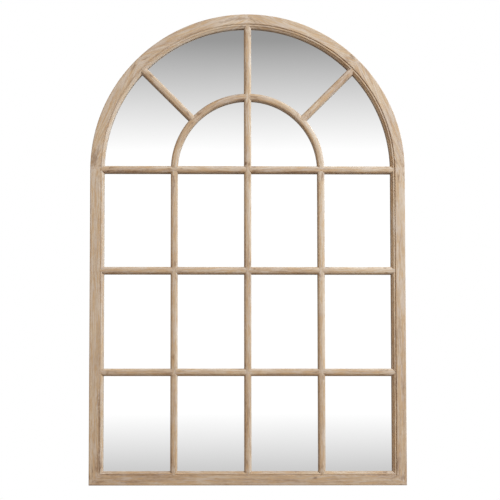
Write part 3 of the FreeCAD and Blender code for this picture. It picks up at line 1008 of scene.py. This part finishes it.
@dataclass
class MouldedFrame:
    """Stiles, bottom rail and four-part arch, all of one moulding."""

    layout: Layout
    joinery: Joinery
    fir: bpy.types.Material
    arris: float = 0.0020
    quirk_width: float = 0.0016
    quirk_depth: float = 0.0024
    bead_width: float = 0.0046
    bead_crown: float = 0.0018
    bead_fall: float = 0.0038
    fillet: float = 0.0007
    sight_edge_depth: float = 0.0088
    wear: float = 0.0035
    # Dirt and painted shade in the groove and along the glass; painted light and shade on the
    # moulding.
    groove_dirt_and_shade: Point = (0.12, 0.0022)
    edge_dirt_and_shade: Point = (0.55, 0.0035)
    arris_brown: float = 0.7
    moulding_painted_shade: float = 0.15
    moulding_painted_light: float = 0.20
    painted_light_from: Point = (0.89, 0.45)
    head_ovolo: Point = (0.35, 0.08)
    foot_brown: Point = (0.5, 2.5)
    browned: Point = (0.35, 0.62)
    arch_steps: int = 30
    tones: Dict[str, float] = field(default_factory=lambda: {
        "stile_left": 0.4, "stile_right": 0.4, "bottom_rail": 0.25, "arch_lower_right": 0.0,
        "arch_upper_right": 0.0, "arch_upper_left": 0.4, "arch_lower_left": 0.4})

    def section(self) -> List[Point]:
        """Moulded section: (u, y) with u inward from the outer edge."""
        size = self.layout
        quirk = size.front + self.quirk_depth
        quirk_end = size.band_width + self.quirk_width
        bead_end = quirk_end + self.bead_width
        crown = (quirk_end + self.bead_width * 0.40, size.front + self.bead_crown)
        low = size.front + self.bead_fall
        bead = arc((quirk_end, quirk), crown, (bead_end, low), 9)
        sight = (size.frame_width, size.front + self.sight_edge_depth)
        start = (bead_end, low + self.fillet)
        middle = ((start[0] + sight[0]) / 2 + 0.0004, (start[1] + sight[1]) / 2 - 0.0005)
        ovolo = arc(start, middle, sight, 8)
        outline = [(0.0, size.back, 0.0006), (0.0, size.front, self.arris),
                   (self.wear, size.front, 0.0), (size.band_width - self.wear, size.front, 0.0),
                   (size.band_width, size.front, 0.0011), (size.band_width, quirk, 0.0003)]
        outline += [(u, y, 0.0) for u, y in bead + ovolo]
        outline += [(size.frame_width, size.lip_back, 0.0004), (size.rebate_at, size.lip_back, 0.0),
                    (size.rebate_at, size.back, 0.0005)]
        return eased(outline)

    def wash(self, inset: Callable[[Vector], float]) -> Callable[[Vector], Colour]:
        """How the frame is coloured: dirt and painted shade in its groove and along the glass,
        painted light and shade on its moulding by the way it faces, brown low down and on its
        arrises.

        Args:
            inset: gives how far in from the outer edge a point is.

        Returns:
            A function of the point that gives paleness with painted light and shade, dirt with
            painted shade, and bareness.
        """
        size = self.layout
        groove_u = size.band_width + self.quirk_width / 2
        groove_y = size.front + self.quirk_depth
        ovolo_u = size.band_width + self.quirk_width + self.bead_width + 1e-4
        step = 0.0005

        def at(point: Vector) -> Colour:
            """Paleness with painted light and shade, dirt with painted shade, and bareness there.
            """
            u = inset(point)
            groove = math.hypot(u - groove_u, point.y - groove_y)
            edge = math.hypot(u - size.frame_width, point.y - size.lip_back)
            # Dirt and painted shade darken the groove and the back of the sight edge next to the
            # glass.
            dirt_and_shade = max(share * fade(off, reach) for off, (share, reach)
                       in ((groove, self.groove_dirt_and_shade), (edge, self.edge_dirt_and_shade)))
            bare = float(point.y > size.lip_back + 1e-5 and u > step)
            pale = -self.arris_brown * fade(min(u, abs(size.band_width - u)), self.wear)
            # Painted light and shade on the moulding: paler where it faces the key light, browner
            # where it faces away.
            if u > size.band_width + 1e-4:
                inward = Vector((inset(point + Vector((step, 0, 0))) - u, 0,
                                 inset(point + Vector((0, 0, step))) - u)) / step
                painted_lit = inward.x * self.painted_light_from[0] + inward.z * self.painted_light_from[1]
                pale = self.moulding_painted_light * painted_lit - self.moulding_painted_shade
                # Paler up the arch's ovolo above the spring line, which takes back much of the
                # painted shade there.
                if u > ovolo_u and point.z > size.spring:
                    share, rise = self.head_ovolo
                    pale += share * min(1.0, (point.z - size.spring) / rise)
            if point.z < size.spring:
                share, onset = self.foot_brown
                reach = self.browned[0 if point.x < 0 else 1]
                pale -= share * min(1.0, onset * fade(point.z, reach))
            return pale, dirt_and_shade, bare
        return at

    def piece(self, name: str, rings: Sequence[Ring], rooms: Iterable[Tongue], plank: Plank,
              inset: Callable[[Vector], float], joint: Callable[[Vector], float]) -> None:
        """Loft, cut and dress one piece of the frame.

        Args:
            name: its node.
            rings: its section at places along it.
            rooms: the bars' ends that enter it.
            plank: the board it is sawn from.
            inset: gives how far in from the outer edge a point is.
            joint: gives how far a point is from the nearest joint.
        """
        blank = Blank(name + "_moulding", rings).carve(tongue.room() for tongue in rooms).smooth()
        grow(blank, plank, self.wash(inset), joint)
        blank.dress([self.fir], Slot.FIR, "mirror", name)

    def stile(self, side: Side) -> None:
        """Upright, mitred at its foot."""
        size, name = self.layout, "stile_" + side.word
        section = self.section()
        x = [side.value * (size.radius - u) for u, _ in section]
        rings = [[Vector((a, y, u)) for a, (u, y) in zip(x, section)]]
        for z in (0.060, 0.110, 0.25, 0.4, 0.55, size.spring - 0.06, size.spring):
            rings.append([Vector((a, y, z)) for a, (_, y) in zip(x, section)])
        rooms = [self.joinery.side(side, z) for z in (*size.crossings, size.spring)]
        plank = Plank(Spot(side.value * size.radius, 0, 90), 3 + side.value, self.tones[name])

        def joint(point: Vector) -> float:
            """Distance from the mitre or the spring line."""
            mitre = abs(point.z - (size.radius - abs(point.x))) / math.sqrt(2)
            return min(mitre, abs(size.spring - point.z))
        self.piece(name, rings, rooms, plank, lambda p: size.radius - abs(p.x), joint)

    def bottom_rail(self) -> None:
        """Rail, mitred at both ends."""
        size, section = self.layout, self.section()
        rings = [[Vector((-(size.radius - u), y, u)) for u, y in section]]
        for x in (-0.345, -0.3, -0.15, 0, 0.15, 0.3, 0.345):
            rings.append([Vector((x, y, u)) for u, y in section])
        rings.append([Vector((size.radius - u, y, u)) for u, y in section])
        rooms = [self.joinery.foot(x) for x in (-size.pitch, 0, size.pitch)]
        plank = Plank(Spot(0, 0, 0), 7, self.tones["bottom_rail"])
        self.piece("bottom_rail", rings, rooms, plank, lambda p: p.z,
                   lambda p: abs(size.radius - abs(p.x) - p.z) / math.sqrt(2))

    def arch_segment(self, name: str, index: int) -> None:
        """One sawn length of the arch.

        Args:
            name: its node.
            index: its place, counted from the right.
        """
        size, start = self.layout, 45.0 * index
        rings = bent([(size.radius - u, y) for u, y in self.section()], size.spring, start,
                     start + 45, self.arch_steps)
        side = Side.RIGHT if index < 2 else Side.LEFT
        rooms = [self.joinery.diagonal_outer(side)]
        rooms.append(self.joinery.side(side, size.spring) if index in (0, 3)
                     else self.joinery.crown())
        middle = math.radians(start + 22.5)
        spot = Spot(size.radius * math.cos(middle), size.spring + size.radius * math.sin(middle),
                    start + 112.5)
        plank = Plank(spot, 11 + index, self.tones[name])

        def inset(point: Vector) -> float:
            """Distance in from the arch's outer edge."""
            return size.radius - math.hypot(point.x, point.z - size.spring)

        def joint(point: Vector) -> float:
            """Distance from the nearer end."""
            turn = math.degrees(math.atan2(point.z - size.spring, point.x)) - start
            return size.radius * math.radians(min(abs(turn), abs(45 - turn)))
        self.piece(name, rings, rooms, plank, inset, joint)

    def build(self) -> None:
        """Make the whole frame."""
        for side in Side:
            self.stile(side)
        self.bottom_rail()
        for index, name in enumerate(("arch_lower_right", "arch_upper_right", "arch_upper_left",
                                      "arch_lower_left")):
            self.arch_segment(name, index)


# ---------------------------------------------------------------- glazing bars

@dataclass
class GlazingBars:
    """Uprights, level bars, inner arch and diagonals, all of one section."""

    layout: Layout
    joinery: Joinery
    fir: bpy.types.Material
    edge_y: float = -0.005
    bulge: float = 0.0012
    arch_steps: int = 56
    # Painted shade under the bars and on their left; dirt and painted shade along the glass.
    under_painted_shade: float = 0.6
    transom_painted_shade: float = 1.1
    left_painted_shade: float = 0.2
    foot_brown: Point = (0.6, 0.4)
    glass_dirt_and_shade: Point = (0.5, 0.0025)
    tones: Dict[str, float] = field(default_factory=lambda: {
        "left_bar": 0.3, "centre_bar": 0.1, "right_bar": 0.3, "transom": 0.3,
        "lower_cross_bar": 0.3, "upper_cross_bar": 0.5, "inner_arch_left": 0.0,
        "inner_arch_right": 0.2, "diagonal_left": 0.1, "diagonal_right": 0.1})

    def section(self) -> List[Point]:
        """Section of a bar: (s, y) with s off its middle."""
        size = self.layout
        chord = math.hypot(size.shoulder, self.edge_y - size.bar_crown)
        swell = self.bulge / chord
        s = (size.flat_half + size.bar_half) / 2 + swell * (self.edge_y - size.bar_crown)
        y = (size.bar_crown + self.edge_y) / 2 - swell * size.shoulder
        right = arc((size.flat_half, size.bar_crown), (s, y), (size.bar_half, self.edge_y), 9)
        outline = [(a, b, 0.0) for a, b in right] + [(size.bar_half, size.lip_back, 0.0003)]
        return eased(outline + [(-a, b, ease) for a, b, ease in reversed(outline)], 2)

    def run(self, name: str, spot: Spot, stations: Iterable[float]) -> Blank:
        """Straight bar, uncut.

        Args:
            name: its node.
            spot: where its stations are measured from.
            stations: where along it its section stands.

        Returns:
            The blank.
        """
        rings = []
        for along in sorted(set(round(station, 5) for station in stations)):
            ring = []
            for s, y in self.section():
                x, z = spot.at(along, s)
                ring.append(Vector((x, y, z)))
            rings.append(ring)
        return Blank(name + "_moulding", rings)

    def finish(self, name: str, blank: Blank, cutters: Sequence[Blank], plank: Plank,
               joints: Sequence[float]) -> None:
        """Cut and dress a bar.

        Args:
            name: its node.
            blank: the uncut bar.
            cutters: what is cut out of it.
            plank: the board it is sawn from.
            joints: how far along the board, before its seed, its joints are.
        """
        size = self.layout
        blank.carve(cutters).smooth()
        # Painted shade on the bars' undersides, deeper on the transom.
        under_painted = self.transom_painted_shade if name == "transom" else self.under_painted_shade

        def wash(point: Vector) -> Colour:
            """Painted shade underneath and on the left, darker towards the foot, dirt and painted
            shade along the glass; the back is bare.
            """
            across = plank.lying(point)[1]
            if plank.bend:
                off = Vector((point.x - plank.spot.x, 0, point.z - plank.spot.z)).normalized()
            else:
                turn = math.radians(plank.spot.heading)
                off = Vector((-math.sin(turn), 0, math.cos(turn)))
            off *= max(-1.0, min(1.0, across / size.flat_half))
            brown, reach = self.foot_brown
            # Painted shade on the lower and the left shoulders, which face away from the key light.
            pale = -under_painted * max(0.0, -off.z) - self.left_painted_shade * max(0.0, -off.x)
            pale -= brown * fade(point.z, reach)
            # Dirt and painted shade darken the bar's sides next to the glass.
            dirt_and_shade, reach = self.glass_dirt_and_shade
            bare = float(point.y > size.lip_back - 1e-5)
            return pale, dirt_and_shade * fade(size.lip_back - point.y, reach), bare

        def joint(point: Vector) -> float:
            """Distance along the bar from its nearest joint."""
            along = plank.lying(point)[0]
            return min(abs(along - place) for place in joints)
        grow(blank, plank, wash, joint)
        blank.dress([self.fir], Slot.FIR, "mirror", name)

    @staticmethod
    def stations(low: float, high: float, joints: Sequence[float]) -> List[float]:
        """Places for a bar's section: its ends, and about each joint where its look changes."""
        offs, spacing = (0.0, 0.02, 0.05), 0.04
        places = [low, high]
        for place in joints:
            places += [place + way * off for way in (-1, 1) for off in offs]
        steps = int((high - low) / spacing)
        places += [low + (high - low) * i / steps for i in range(steps)]
        return [place for place in places if low <= place <= high]

    def notch(self, x: float, z: float) -> Blank:
        """Room behind an upright for the level bar's back half."""
        size = self.layout
        wide = size.bar_half + size.overrun
        return prism(Spot(x, z), oblong(-wide, wide, size.bar_half), size.halving, size.back)

    def passing(self, x: float, z: float) -> Blank:
        """Room in front of a level bar for the upright's front half."""
        size = self.layout
        wide, flat = size.bar_half + size.overrun, size.flat_half
        right = [(wide, wide), (flat, flat), (flat, -flat), (wide, -wide)]
        corners = right + [(-a, -b) for a, b in right]
        return prism(Spot(x, z), corners, size.front - size.overrun, size.halving)

    def upright(self, name: str, x: float, seed: float) -> None:
        """Upright bar, in front at every crossing.

        Args:
            name: its node.
            x: its middle line.
            seed: its board's seed.
        """
        size, joinery = self.layout, self.joinery
        low = size.frame_width - size.bead_reach
        foot = joinery.foot(x)
        cutters = foot.waste()
        levels = list(size.crossings)
        if x == 0:
            high = size.spring + size.sight + size.bead_reach
            levels.append(size.spring)
            cutters += joinery.crown().waste()
            cutters += [joinery.inner_crown(side).room() for side in Side]
            joints = levels + [size.spring + size.pitch, size.spring + size.sight]
        else:
            high = size.spring - size.flat_half
            cutters += joinery.head(Side(int(math.copysign(1, x)))).waste()
            joints = levels + [size.spring]
        joints = joints + [size.frame_width]
        for z in levels:
            cutters += [tongue.room() for tongue in joinery.crossing(x, z)] + [self.notch(x, z)]
        blank = self.run(name, Spot(x, 0, 90), self.stations(low, high, joints))
        self.finish(name, blank, cutters, Plank(Spot(x, 0, 90), seed, self.tones[name]), joints)

    def level(self, name: str, z: float, seed: float) -> None:
        """Level bar from stile to stile.

        Args:
            name: its node.
            z: its middle line.
            seed: its board's seed.
        """
        size, joinery = self.layout, self.joinery
        half = size.sight + size.bead_reach
        cutters = joinery.side(Side.LEFT, z).waste() + joinery.side(Side.RIGHT, z).waste()
        cutters.append(self.passing(0, z))
        for side in Side:
            if z == size.spring:
                cutters += [joinery.head(side).room(), joinery.springer(side).room()]
            else:
                cutters.append(self.passing(side.value * size.pitch, z))
        joints = [-size.sight, -size.pitch, 0, size.pitch, size.sight]
        blank = self.run(name, Spot(0, z, 0), self.stations(-half, half, joints))
        self.finish(name, blank, cutters, Plank(Spot(0, z, 0), seed, self.tones[name]), joints)

    def inner_arch(self, side: Side, seed: float) -> None:
        """Quarter ring from the transom to the centre bar.

        Args:
            side: its side.
            seed: its board's seed.
        """
        size, joinery = self.layout, self.joinery
        name = "inner_arch_" + side.word
        start = 45 - side.value * 45
        rings = bent([(size.pitch + s, y) for s, y in self.section()], size.spring, start,
                     start + 90, self.arch_steps)
        cutters = joinery.springer(side).waste() + joinery.inner_crown(side).waste()
        cutters.append(joinery.diagonal_inner(side).room())
        plank = Plank(Spot(0, size.spring), seed, self.tones[name], size.pitch)
        meeting = 90 - side.value * (90 - joinery.heading)
        joints = [size.pitch * math.radians(turn) for turn in (90 - side.value * 90, meeting, 90)]
        self.finish(name, Blank(name + "_moulding", rings), cutters, plank, joints)

    def diagonal(self, side: Side, seed: float) -> None:
        """Bar from the inner arch out to the arch.

        Args:
            side: its side.
            seed: its board's seed.
        """
        size, joinery = self.layout, self.joinery
        name = "diagonal_" + side.word
        inner, outer = joinery.diagonal_inner(side), joinery.diagonal_outer(side)
        length = math.dist((inner.spot.x, inner.spot.z), (outer.spot.x, outer.spot.z))
        spot = Spot(inner.spot.x, inner.spot.z, joinery.outward(side))
        joints = [0.0, length]
        places = self.stations(-inner.reach, length + outer.reach, joints)
        blank = self.run(name, spot, places)
        self.finish(name, blank, inner.waste() + outer.waste(),
                    Plank(spot, seed, self.tones[name]), joints)

    def build(self) -> None:
        """Make every bar."""
        size = self.layout
        for i, name in enumerate(("left_bar", "centre_bar", "right_bar")):
            self.upright(name, (i - 1) * size.pitch, 21 + i)
        self.level("transom", size.spring, 31)
        for i, name in enumerate(("lower_cross_bar", "upper_cross_bar")):
            self.level(name, size.crossings[i], 32 + i)
        for side in Side:
            self.inner_arch(side, 42 + side.value)
            self.diagonal(side, 52 + side.value)


# ---------------------------------------------------------------- plate and board

def arched_rings(half: float, bottom: float, spring: float,
                 layers: Sequence[Point], steps: int = 120) -> List[Ring]:
    """Rings of a plate with a half-round top.

    Args:
        half: half its width.
        bottom: height of its foot.
        spring: height where its round starts.
        layers: (y, inset) of each ring.
        steps: steps round its head.

    Returns:
        The rings.
    """
    rings = []
    for y, inset in layers:
        reach = half - inset
        ring = [Vector((-reach, y, bottom + inset)), Vector((reach, y, bottom + inset))]
        for i in range(steps + 1):
            turn = math.pi * i / steps
            ring.append(Vector((reach * math.cos(turn), y, spring + reach * math.sin(turn))))
        rings.append(ring)
    return rings


@dataclass
class MirrorPlate:
    """Mirror glass; its silvered face stands where the glass makes it seem to stand."""

    layout: Layout
    silver: bpy.types.Material
    paint: bpy.types.Material
    edge_gap: float = 0.0015
    apparent_depth: float = 0.0034
    grind: float = 0.0003

    def build(self) -> None:
        """Make the plate."""
        size = self.layout
        face = size.lip_back + self.apparent_depth
        layers = [(face, self.grind), (face + self.grind, 0.0),
                  (size.glass_back - self.grind, 0.0), (size.glass_back, self.grind)]
        half = size.radius - size.rebate_at - self.edge_gap
        blank = Blank("mirror_plate", arched_rings(half, size.rebate_at, size.spring, layers))
        for polygon in blank.mesh.polygons:
            polygon.material_index = 0 if polygon.normal.y < -0.99 else 1
        blank.dress([self.silver, self.paint], Slot.MIRROR, "mirror", "mirror_glass")


@dataclass
class Backing:
    """Board behind the plate and the steel points that hold it."""

    layout: Layout
    board: bpy.types.Material
    steel: bpy.types.Material
    edge_gap: float = 0.001
    ease: float = 0.0003

    def build(self) -> None:
        """Make the board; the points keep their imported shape."""
        size = self.layout
        layers = [(size.glass_back, self.ease), (size.glass_back + self.ease, 0.0),
                  (size.board_back - self.ease, 0.0), (size.board_back, self.ease)]
        half = size.radius - size.rebate_at - self.edge_gap
        blank = Blank("backing_hardboard", arched_rings(half, size.rebate_at, size.spring, layers))
        blank.dress([self.board], Slot.BOARD, "mirror", "backing_board")
        repaint("framers_points", self.steel)


def repaint(node: str, material: bpy.types.Material) -> None:
    """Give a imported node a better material."""
    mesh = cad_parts[node].data
    mesh.materials.clear()
    mesh.materials.append(material)
    log.info("%-24s carried over", node)


# ---------------------------------------------------------------- hangers and bumpers

@dataclass
class Hangers:
    """Strap hangers on the stiles' backs, each with a D-ring in its fold and two screws."""

    layout: Layout
    steel: bpy.types.Material
    below_spring: float = 0.060
    thickness: float = 0.001
    width: float = 0.014
    length: float = 0.040
    ramp: float = 0.007
    end_radius: float = 0.004
    bore: float = 0.0013
    wire: float = 0.00125
    ring_half: float = 0.00925
    ring_corner: float = 0.002
    ring_reach: float = 0.0178
    lean: float = 2.41
    screw_drops: Tuple[float, float] = (0.0119, 0.032)
    head_radius: float = 0.0034
    head_height: float = 0.002
    recess_depth: float = 0.0012
    recess_length: float = 0.0019
    recess_half: float = 0.00042
    recess_turns: Tuple[float, float] = (20, 65)
    recess_skew: float = 13.0
    head_rim: float = 0.0008
    head_ease: float = 0.0002
    shank: float = 0.00165
    shank_length: float = 0.014
    tip: float = 0.0004
    tip_length: float = 0.0035
    strap_bevel: float = 0.00016
    wire_steps: int = 20

    @property
    def hinge(self) -> Point:
        """y and z of the rings' hinge line."""
        size = self.layout
        return size.back + self.bore + self.thickness, size.spring - self.below_spring

    def middle(self, side: Side) -> float:
        """x of a hanger."""
        return side.value * (self.layout.radius - self.layout.rebate_at / 2)

    def strap(self, side: Side) -> None:
        """Steel strip doubled round the ring's bar and pressed flat below it."""
        hinge_y, hinge_z = self.hinge
        foot = hinge_z - self.length
        half_thick = self.thickness / 2
        inner = self.layout.back + half_thick
        outer = self.layout.back + 3 * half_thick
        fold = self.bore + half_thick
        shares = (0, 0.01, 0.02, 0.035, 0.05, 0.07, 0.1, 0.3, 0.6, 0.9, 1)
        line = [Vector((0, inner, foot + self.length * t)) for t in shares]
        line += [Vector((0, hinge_y - fold * math.cos(t), hinge_z + fold * math.sin(t)))
                 for t in [math.radians(9 * i) for i in range(1, 21)]]
        line += [Vector((0, hinge_y + fold * (1 - s) + (outer - hinge_y) * s,
                         hinge_z - self.ramp * t))
                 for t, s in [(k / 10, (k / 10) ** 2 * (3 - 0.2 * k)) for k in range(1, 11)]]
        line += [Vector((0, outer, foot + self.length * t)) for t in (0.7, 0.4, *shares[6::-1])]
        bevel = self.strap_bevel
        rings = []
        for i, place in enumerate(line):
            ahead = line[min(i + 1, len(line) - 1)] - line[max(i - 1, 0)]
            off = Vector((0, -ahead.z, ahead.y)).normalized() * (half_thick - 1e-6)
            short = min(max(0.0, self.end_radius - (place.z - foot)), self.end_radius)
            half = self.width / 2 - self.end_radius + math.sqrt(self.end_radius ** 2 - short ** 2)
            corners = [(-half, bevel), (-half + bevel, 0.0), (half - bevel, 0.0), (half, bevel)]
            ring = [place + off * (1 - 2 * depth / self.thickness) + Vector((x, 0, 0))
                    for x, depth in corners]
            ring += [place - off * (1 - 2 * depth / self.thickness) + Vector((x, 0, 0))
                     for x, depth in reversed(corners)]
            shift = Vector((self.middle(side), 0, 0))
            rings.append([point + shift for point in ring])
        name = "strap_" + side.word
        Blank(name + "_steel", rings).smooth(40).dress([self.steel], Slot.STEEL, "mirror", name)

    def ring(self, side: Side) -> None:
        """D-ring of round wire, at rest against the frame's back."""
        half, corner, reach = self.ring_half, self.ring_corner, self.ring_reach
        path: List[Point] = [(0.0, 0.0), (half - corner - 0.001, 0.0)]
        path += [(half - corner + corner * math.sin(t), corner - corner * math.cos(t))
                 for t in [math.radians(9 * i) for i in range(11)]]
        path += [(half * math.cos(t), reach - half + half * math.sin(t))
                 for t in [math.radians(5 * i) for i in range(37)]]
        path += [(-x, z) for x, z in reversed(path[1:13])]
        lean = math.radians(self.lean)
        hinge_y, hinge_z = self.hinge
        rings = []
        for i, (x, z) in enumerate(path):
            before, after = path[i - 1], path[(i + 1) % len(path)]
            run = Vector((after[0] - before[0], 0, after[1] - before[1])).normalized()
            out = Vector((-run.z, 0, run.x))
            ring = []
            for k in range(self.wire_steps):
                t = math.tau * k / self.wire_steps
                round_wire = out * math.cos(t) + Vector((0, 1, 0)) * math.sin(t)
                point = Vector((x, 0, z)) + round_wire * self.wire
                y, up = point.y, point.z
                ring.append(Vector((self.middle(side) + point.x,
                                    hinge_y + y * math.cos(lean) - up * math.sin(lean),
                                    hinge_z + y * math.sin(lean) + up * math.cos(lean))))
            rings.append(ring)
        name = "ring_" + side.word
        Blank(name + "_wire", rings, True).smooth(60).dress([self.steel], Slot.STEEL, name, name)

    def screws(self) -> None:
        """Pan-head screws with a cross recess."""
        hinge_z = self.hinge[1]
        seat = self.layout.back + 2 * self.thickness
        top = seat + self.head_height
        rim = seat + self.head_rim
        r, shank, ease = self.head_radius, self.shank, self.head_ease
        end = seat - self.shank_length
        profile = [(self.tip, end), (shank, end + self.tip_length), (shank, seat - 0.0005),
                   (0.0020, seat), (r * 0.97, seat), (r, seat + ease), (r, rim)]
        profile += [(r * math.cos(t) + ease * math.sin(t), rim + (top - rim) * math.sin(t))
                    for t in [math.radians(10 * i) for i in range(1, 9)]]
        heads = []
        for side in Side:
            for turn, drop in zip(self.recess_turns, self.screw_drops):
                z = hinge_z - drop
                head = turned("hanger_screw", self.middle(side), z, profile, 40)
                slot = oblong(-self.recess_length, self.recess_length, self.recess_half)
                heads.append(head.carve(
                    prism(Spot(self.middle(side), z, heading + side.value * self.recess_skew),
                          slot, top - self.recess_depth, top + self.head_height / 2)
                    for heading in (turn, turn + 90)))
        heads[0].thing.name = "hanger_screws_pan"
        heads[0].join(heads[1:]).smooth(38)
        heads[0].dress([self.steel], Slot.STEEL, "mirror", "hanger_screws")

    def build(self) -> None:
        """Make both hangers."""
        for side in Side:
            self.strap(side)
            self.ring(side)
        self.screws()


@dataclass
class Bumpers:
    """Domed rubber bumpers low on the back."""

    layout: Layout
    rubber: bpy.types.Material
    radius: float = 0.006
    height: float = 0.003
    flat: float = 0.0036
    flash: float = 0.0001
    wall: float = 0.0008
    dome_steps: int = 7
    above_floor: float = 0.040

    def build(self) -> None:
        """Make both bumpers."""
        size = self.layout
        for side in Side:
            x = side.value * (size.radius - size.rebate_at / 2)
            profile = [(self.radius * 0.96, size.back - self.flash),
                       (self.radius, size.back + 3 * self.flash)]
            for i in range(self.dome_steps + 1):
                turn = math.radians(90 * i / self.dome_steps)
                fall = self.radius - self.flat - self.flash
                profile.append((self.flat + fall * math.cos(turn),
                                size.back + self.wall + (self.height - self.wall) * math.sin(turn)))
            name = "bumper_" + side.word
            blank = turned(name + "_dome", x, self.above_floor, profile).smooth(50)
            blank.dress([self.rubber], Slot.RUBBER, "mirror", name)


# ---------------------------------------------------------------- studio

@dataclass
class Studio:
    """Floor, lamps, surroundings and camera."""

    layout: Layout
    floor_drop: float = 1.0
    floor_radius: float = 12.0
    sky_share: float = 0.94
    low: float = -2.0
    high: float = 13.0
    room: Tuple[Tuple[float, float], ...] = (
        (-2.0, 0.74), (0.3, 0.80), (1.7, 1.0), (7.8, 1.0), (10.5, 0.60), (13.0, 0.47))
    dusk: Colour = (0.540, 0.530, 0.515)
    white: Colour = (1.0, 1.0, 1.0)
    matt: Colour = (0.30, 0.25, 0.19)
    fill: Tuple[Tuple[float, Colour], ...] = (
        (0.00, (0.030, 0.021, 0.013)), (0.30, (0.120, 0.088, 0.056)),
        (0.42, (0.420, 0.340, 0.250)), (0.55, (0.760, 0.655, 0.530)),
        (0.70, (0.900, 0.810, 0.700)), (1.00, (1.000, 0.930, 0.840)))
    fill_from: Colour = (0.24, 0.42, 0.5)
    white_gain: float = 1.03
    key_place: Colour = (1.97, -1.75, 1.85)
    key_colour: Colour = (0.80, 0.94, 1.06)
    back_place: Colour = (-1.6, 2.8, 1.9)
    lens: float = 172.8
    sensor: float = 36.0
    camera_place: Colour = (-0.1307, -6.0657, 0.0086)
    camera_turn: Colour = (95.5213, 0.0572, -1.2842)

    def floor(self) -> None:
        """Plain pale floor, well below the hung mirror."""
        steps = 96
        work = bmesh.new()
        turns = [math.tau * i / steps for i in range(steps)]
        work.faces.new([work.verts.new((self.floor_radius * math.cos(t),
                                        self.floor_radius * math.sin(t), -self.floor_drop))
                        for t in turns])
        mesh = bpy.data.meshes.new("studio_floor")
        work.to_mesh(mesh)
        work.free()
        floor = stand("studio_floor", mesh)
        material = bpy.data.materials.new("studio_floor")
        tree = Tree(material)
        camera, reflected = tree.rays()
        x, y, _ = tree.parts(tree.place())
        near_share, near, far = 0.72, 0.8, 3.2
        white = camera * (near_share + length(x, y).between(near, far) * (1 - near_share))
        glow = tree.add("ShaderNodeEmission", {}, {"Color": self.white, "Strength": 1.0})
        dusk = tree.add("ShaderNodeEmission", {}, {"Color": self.dusk, "Strength": 1.0})
        matt = tree.add("ShaderNodeBsdfDiffuse", {}, {"Color": self.matt})
        seen = tree.add("ShaderNodeMixShader", {}, {0: white, 1: matt, 2: glow})
        whole = tree.add("ShaderNodeMixShader", {}, {0: reflected, 1: seen, 2: dusk})
        tree.add("ShaderNodeOutputMaterial", {}, {"Surface": whole})
        mesh.materials.append(material)

    @staticmethod
    def linear(grey: float) -> float:
        """Linear light of a grey from 0 to 1 as a screen shows it."""
        return grey / 12.92 if grey <= 0.04045 else ((grey + 0.055) / 1.055) ** 2.4

    def surroundings(self) -> None:
        """White to the camera; a soft room for what reflects, and a fill that is dim from below."""
        world = bpy.data.worlds.new("studio")
        bpy.context.scene.world = world
        tree = Tree(world)
        camera, reflected = tree.rays()
        way = tree.add("ShaderNodeTexCoord", {}, {}, "Generated")
        sideways, _, rise = tree.parts(way)
        bottom, top = math.sin(math.radians(self.low)), math.sin(math.radians(self.high))
        room_stops = []
        for angle, grey in self.room:
            gain = self.white_gain if grey == 1.0 else 1.0
            light = self.linear(grey) / self.sky_share * gain
            place = (math.sin(math.radians(angle)) - bottom) / (top - bottom)
            room_stops.append((place, (light, light, light)))
        room = tree.ramp((rise - bottom) / (top - bottom), room_stops)
        aside, up, middle = self.fill_from
        fill = tree.ramp(rise * up + sideways * aside + middle, self.fill)
        beside = sideways.maths("ABSOLUTE", sideways).between(0.16, 0.40)
        room = tree.mix(beside, room, self.dusk)
        light = tree.mix(reflected, fill, room)
        light = tree.mix(camera, light, self.white)
        ground = tree.add("ShaderNodeBackground", {}, {"Color": light, "Strength": 1.0})
        tree.add("ShaderNodeOutputWorld", {}, {"Surface": ground})

    def lamp(self, name: str, place: Colour, size: float, power: float, colour: Colour) -> None:
        """Square soft lamp aimed at the mirror.

        Args:
            name: its name.
            place: where it stands.
            size: its side.
            power: its watts.
            colour: its colour.
        """
        light = bpy.data.lights.new(name, "AREA")
        light.shape = "SQUARE"
        light.size = size
        light.energy = power
        light.color = colour
        lamp = stand(name, light)
        lamp.location = place
        aim = Vector((0, 0, self.layout.height / 2)) - Vector(place)
        lamp.rotation_euler = aim.to_track_quat("-Z", "Y").to_euler()

    def camera(self) -> None:
        """Camera at the photograph's viewing angle."""
        lens = bpy.data.cameras.new("camera")
        lens.lens = self.lens
        lens.sensor_width = self.sensor
        camera = stand("camera", lens)
        camera.location = self.camera_place
        camera.rotation_euler = [math.radians(turn) for turn in self.camera_turn]
        bpy.context.scene.camera = camera

    def build(self) -> None:
        """Set the studio up."""
        bpy.context.scene.view_settings.view_transform = "Standard"
        self.floor()
        self.surroundings()
        self.lamp("key", self.key_place, 1.2, 80.0, self.key_colour)
        self.lamp("back", self.back_place, 1.6, 40.0, self.white)
        self.camera()


def main() -> None:
    """Build the mirror and its studio."""
    logging.basicConfig(level=logging.INFO, format="%(name)s: %(message)s")
    layout = Layout()
    joinery = Joinery(layout)
    fir = LimewashedFir().make()
    steel = ZincSteel().make()
    beech = Beech().make()
    MouldedFrame(layout, joinery, fir).build()
    GlazingBars(layout, joinery, fir).build()
    MirrorPlate(layout, Silvering().make(), BackPaint().make()).build()
    Backing(layout, Hardboard().make(), steel).build()
    Hangers(layout, steel).build()
    Bumpers(layout, Rubber().make()).build()
    for node in ("arch_tenons", "corner_tenons"):
        repaint(node, beech)
    Studio(layout).build()


if __name__ == "__main__":
    main()
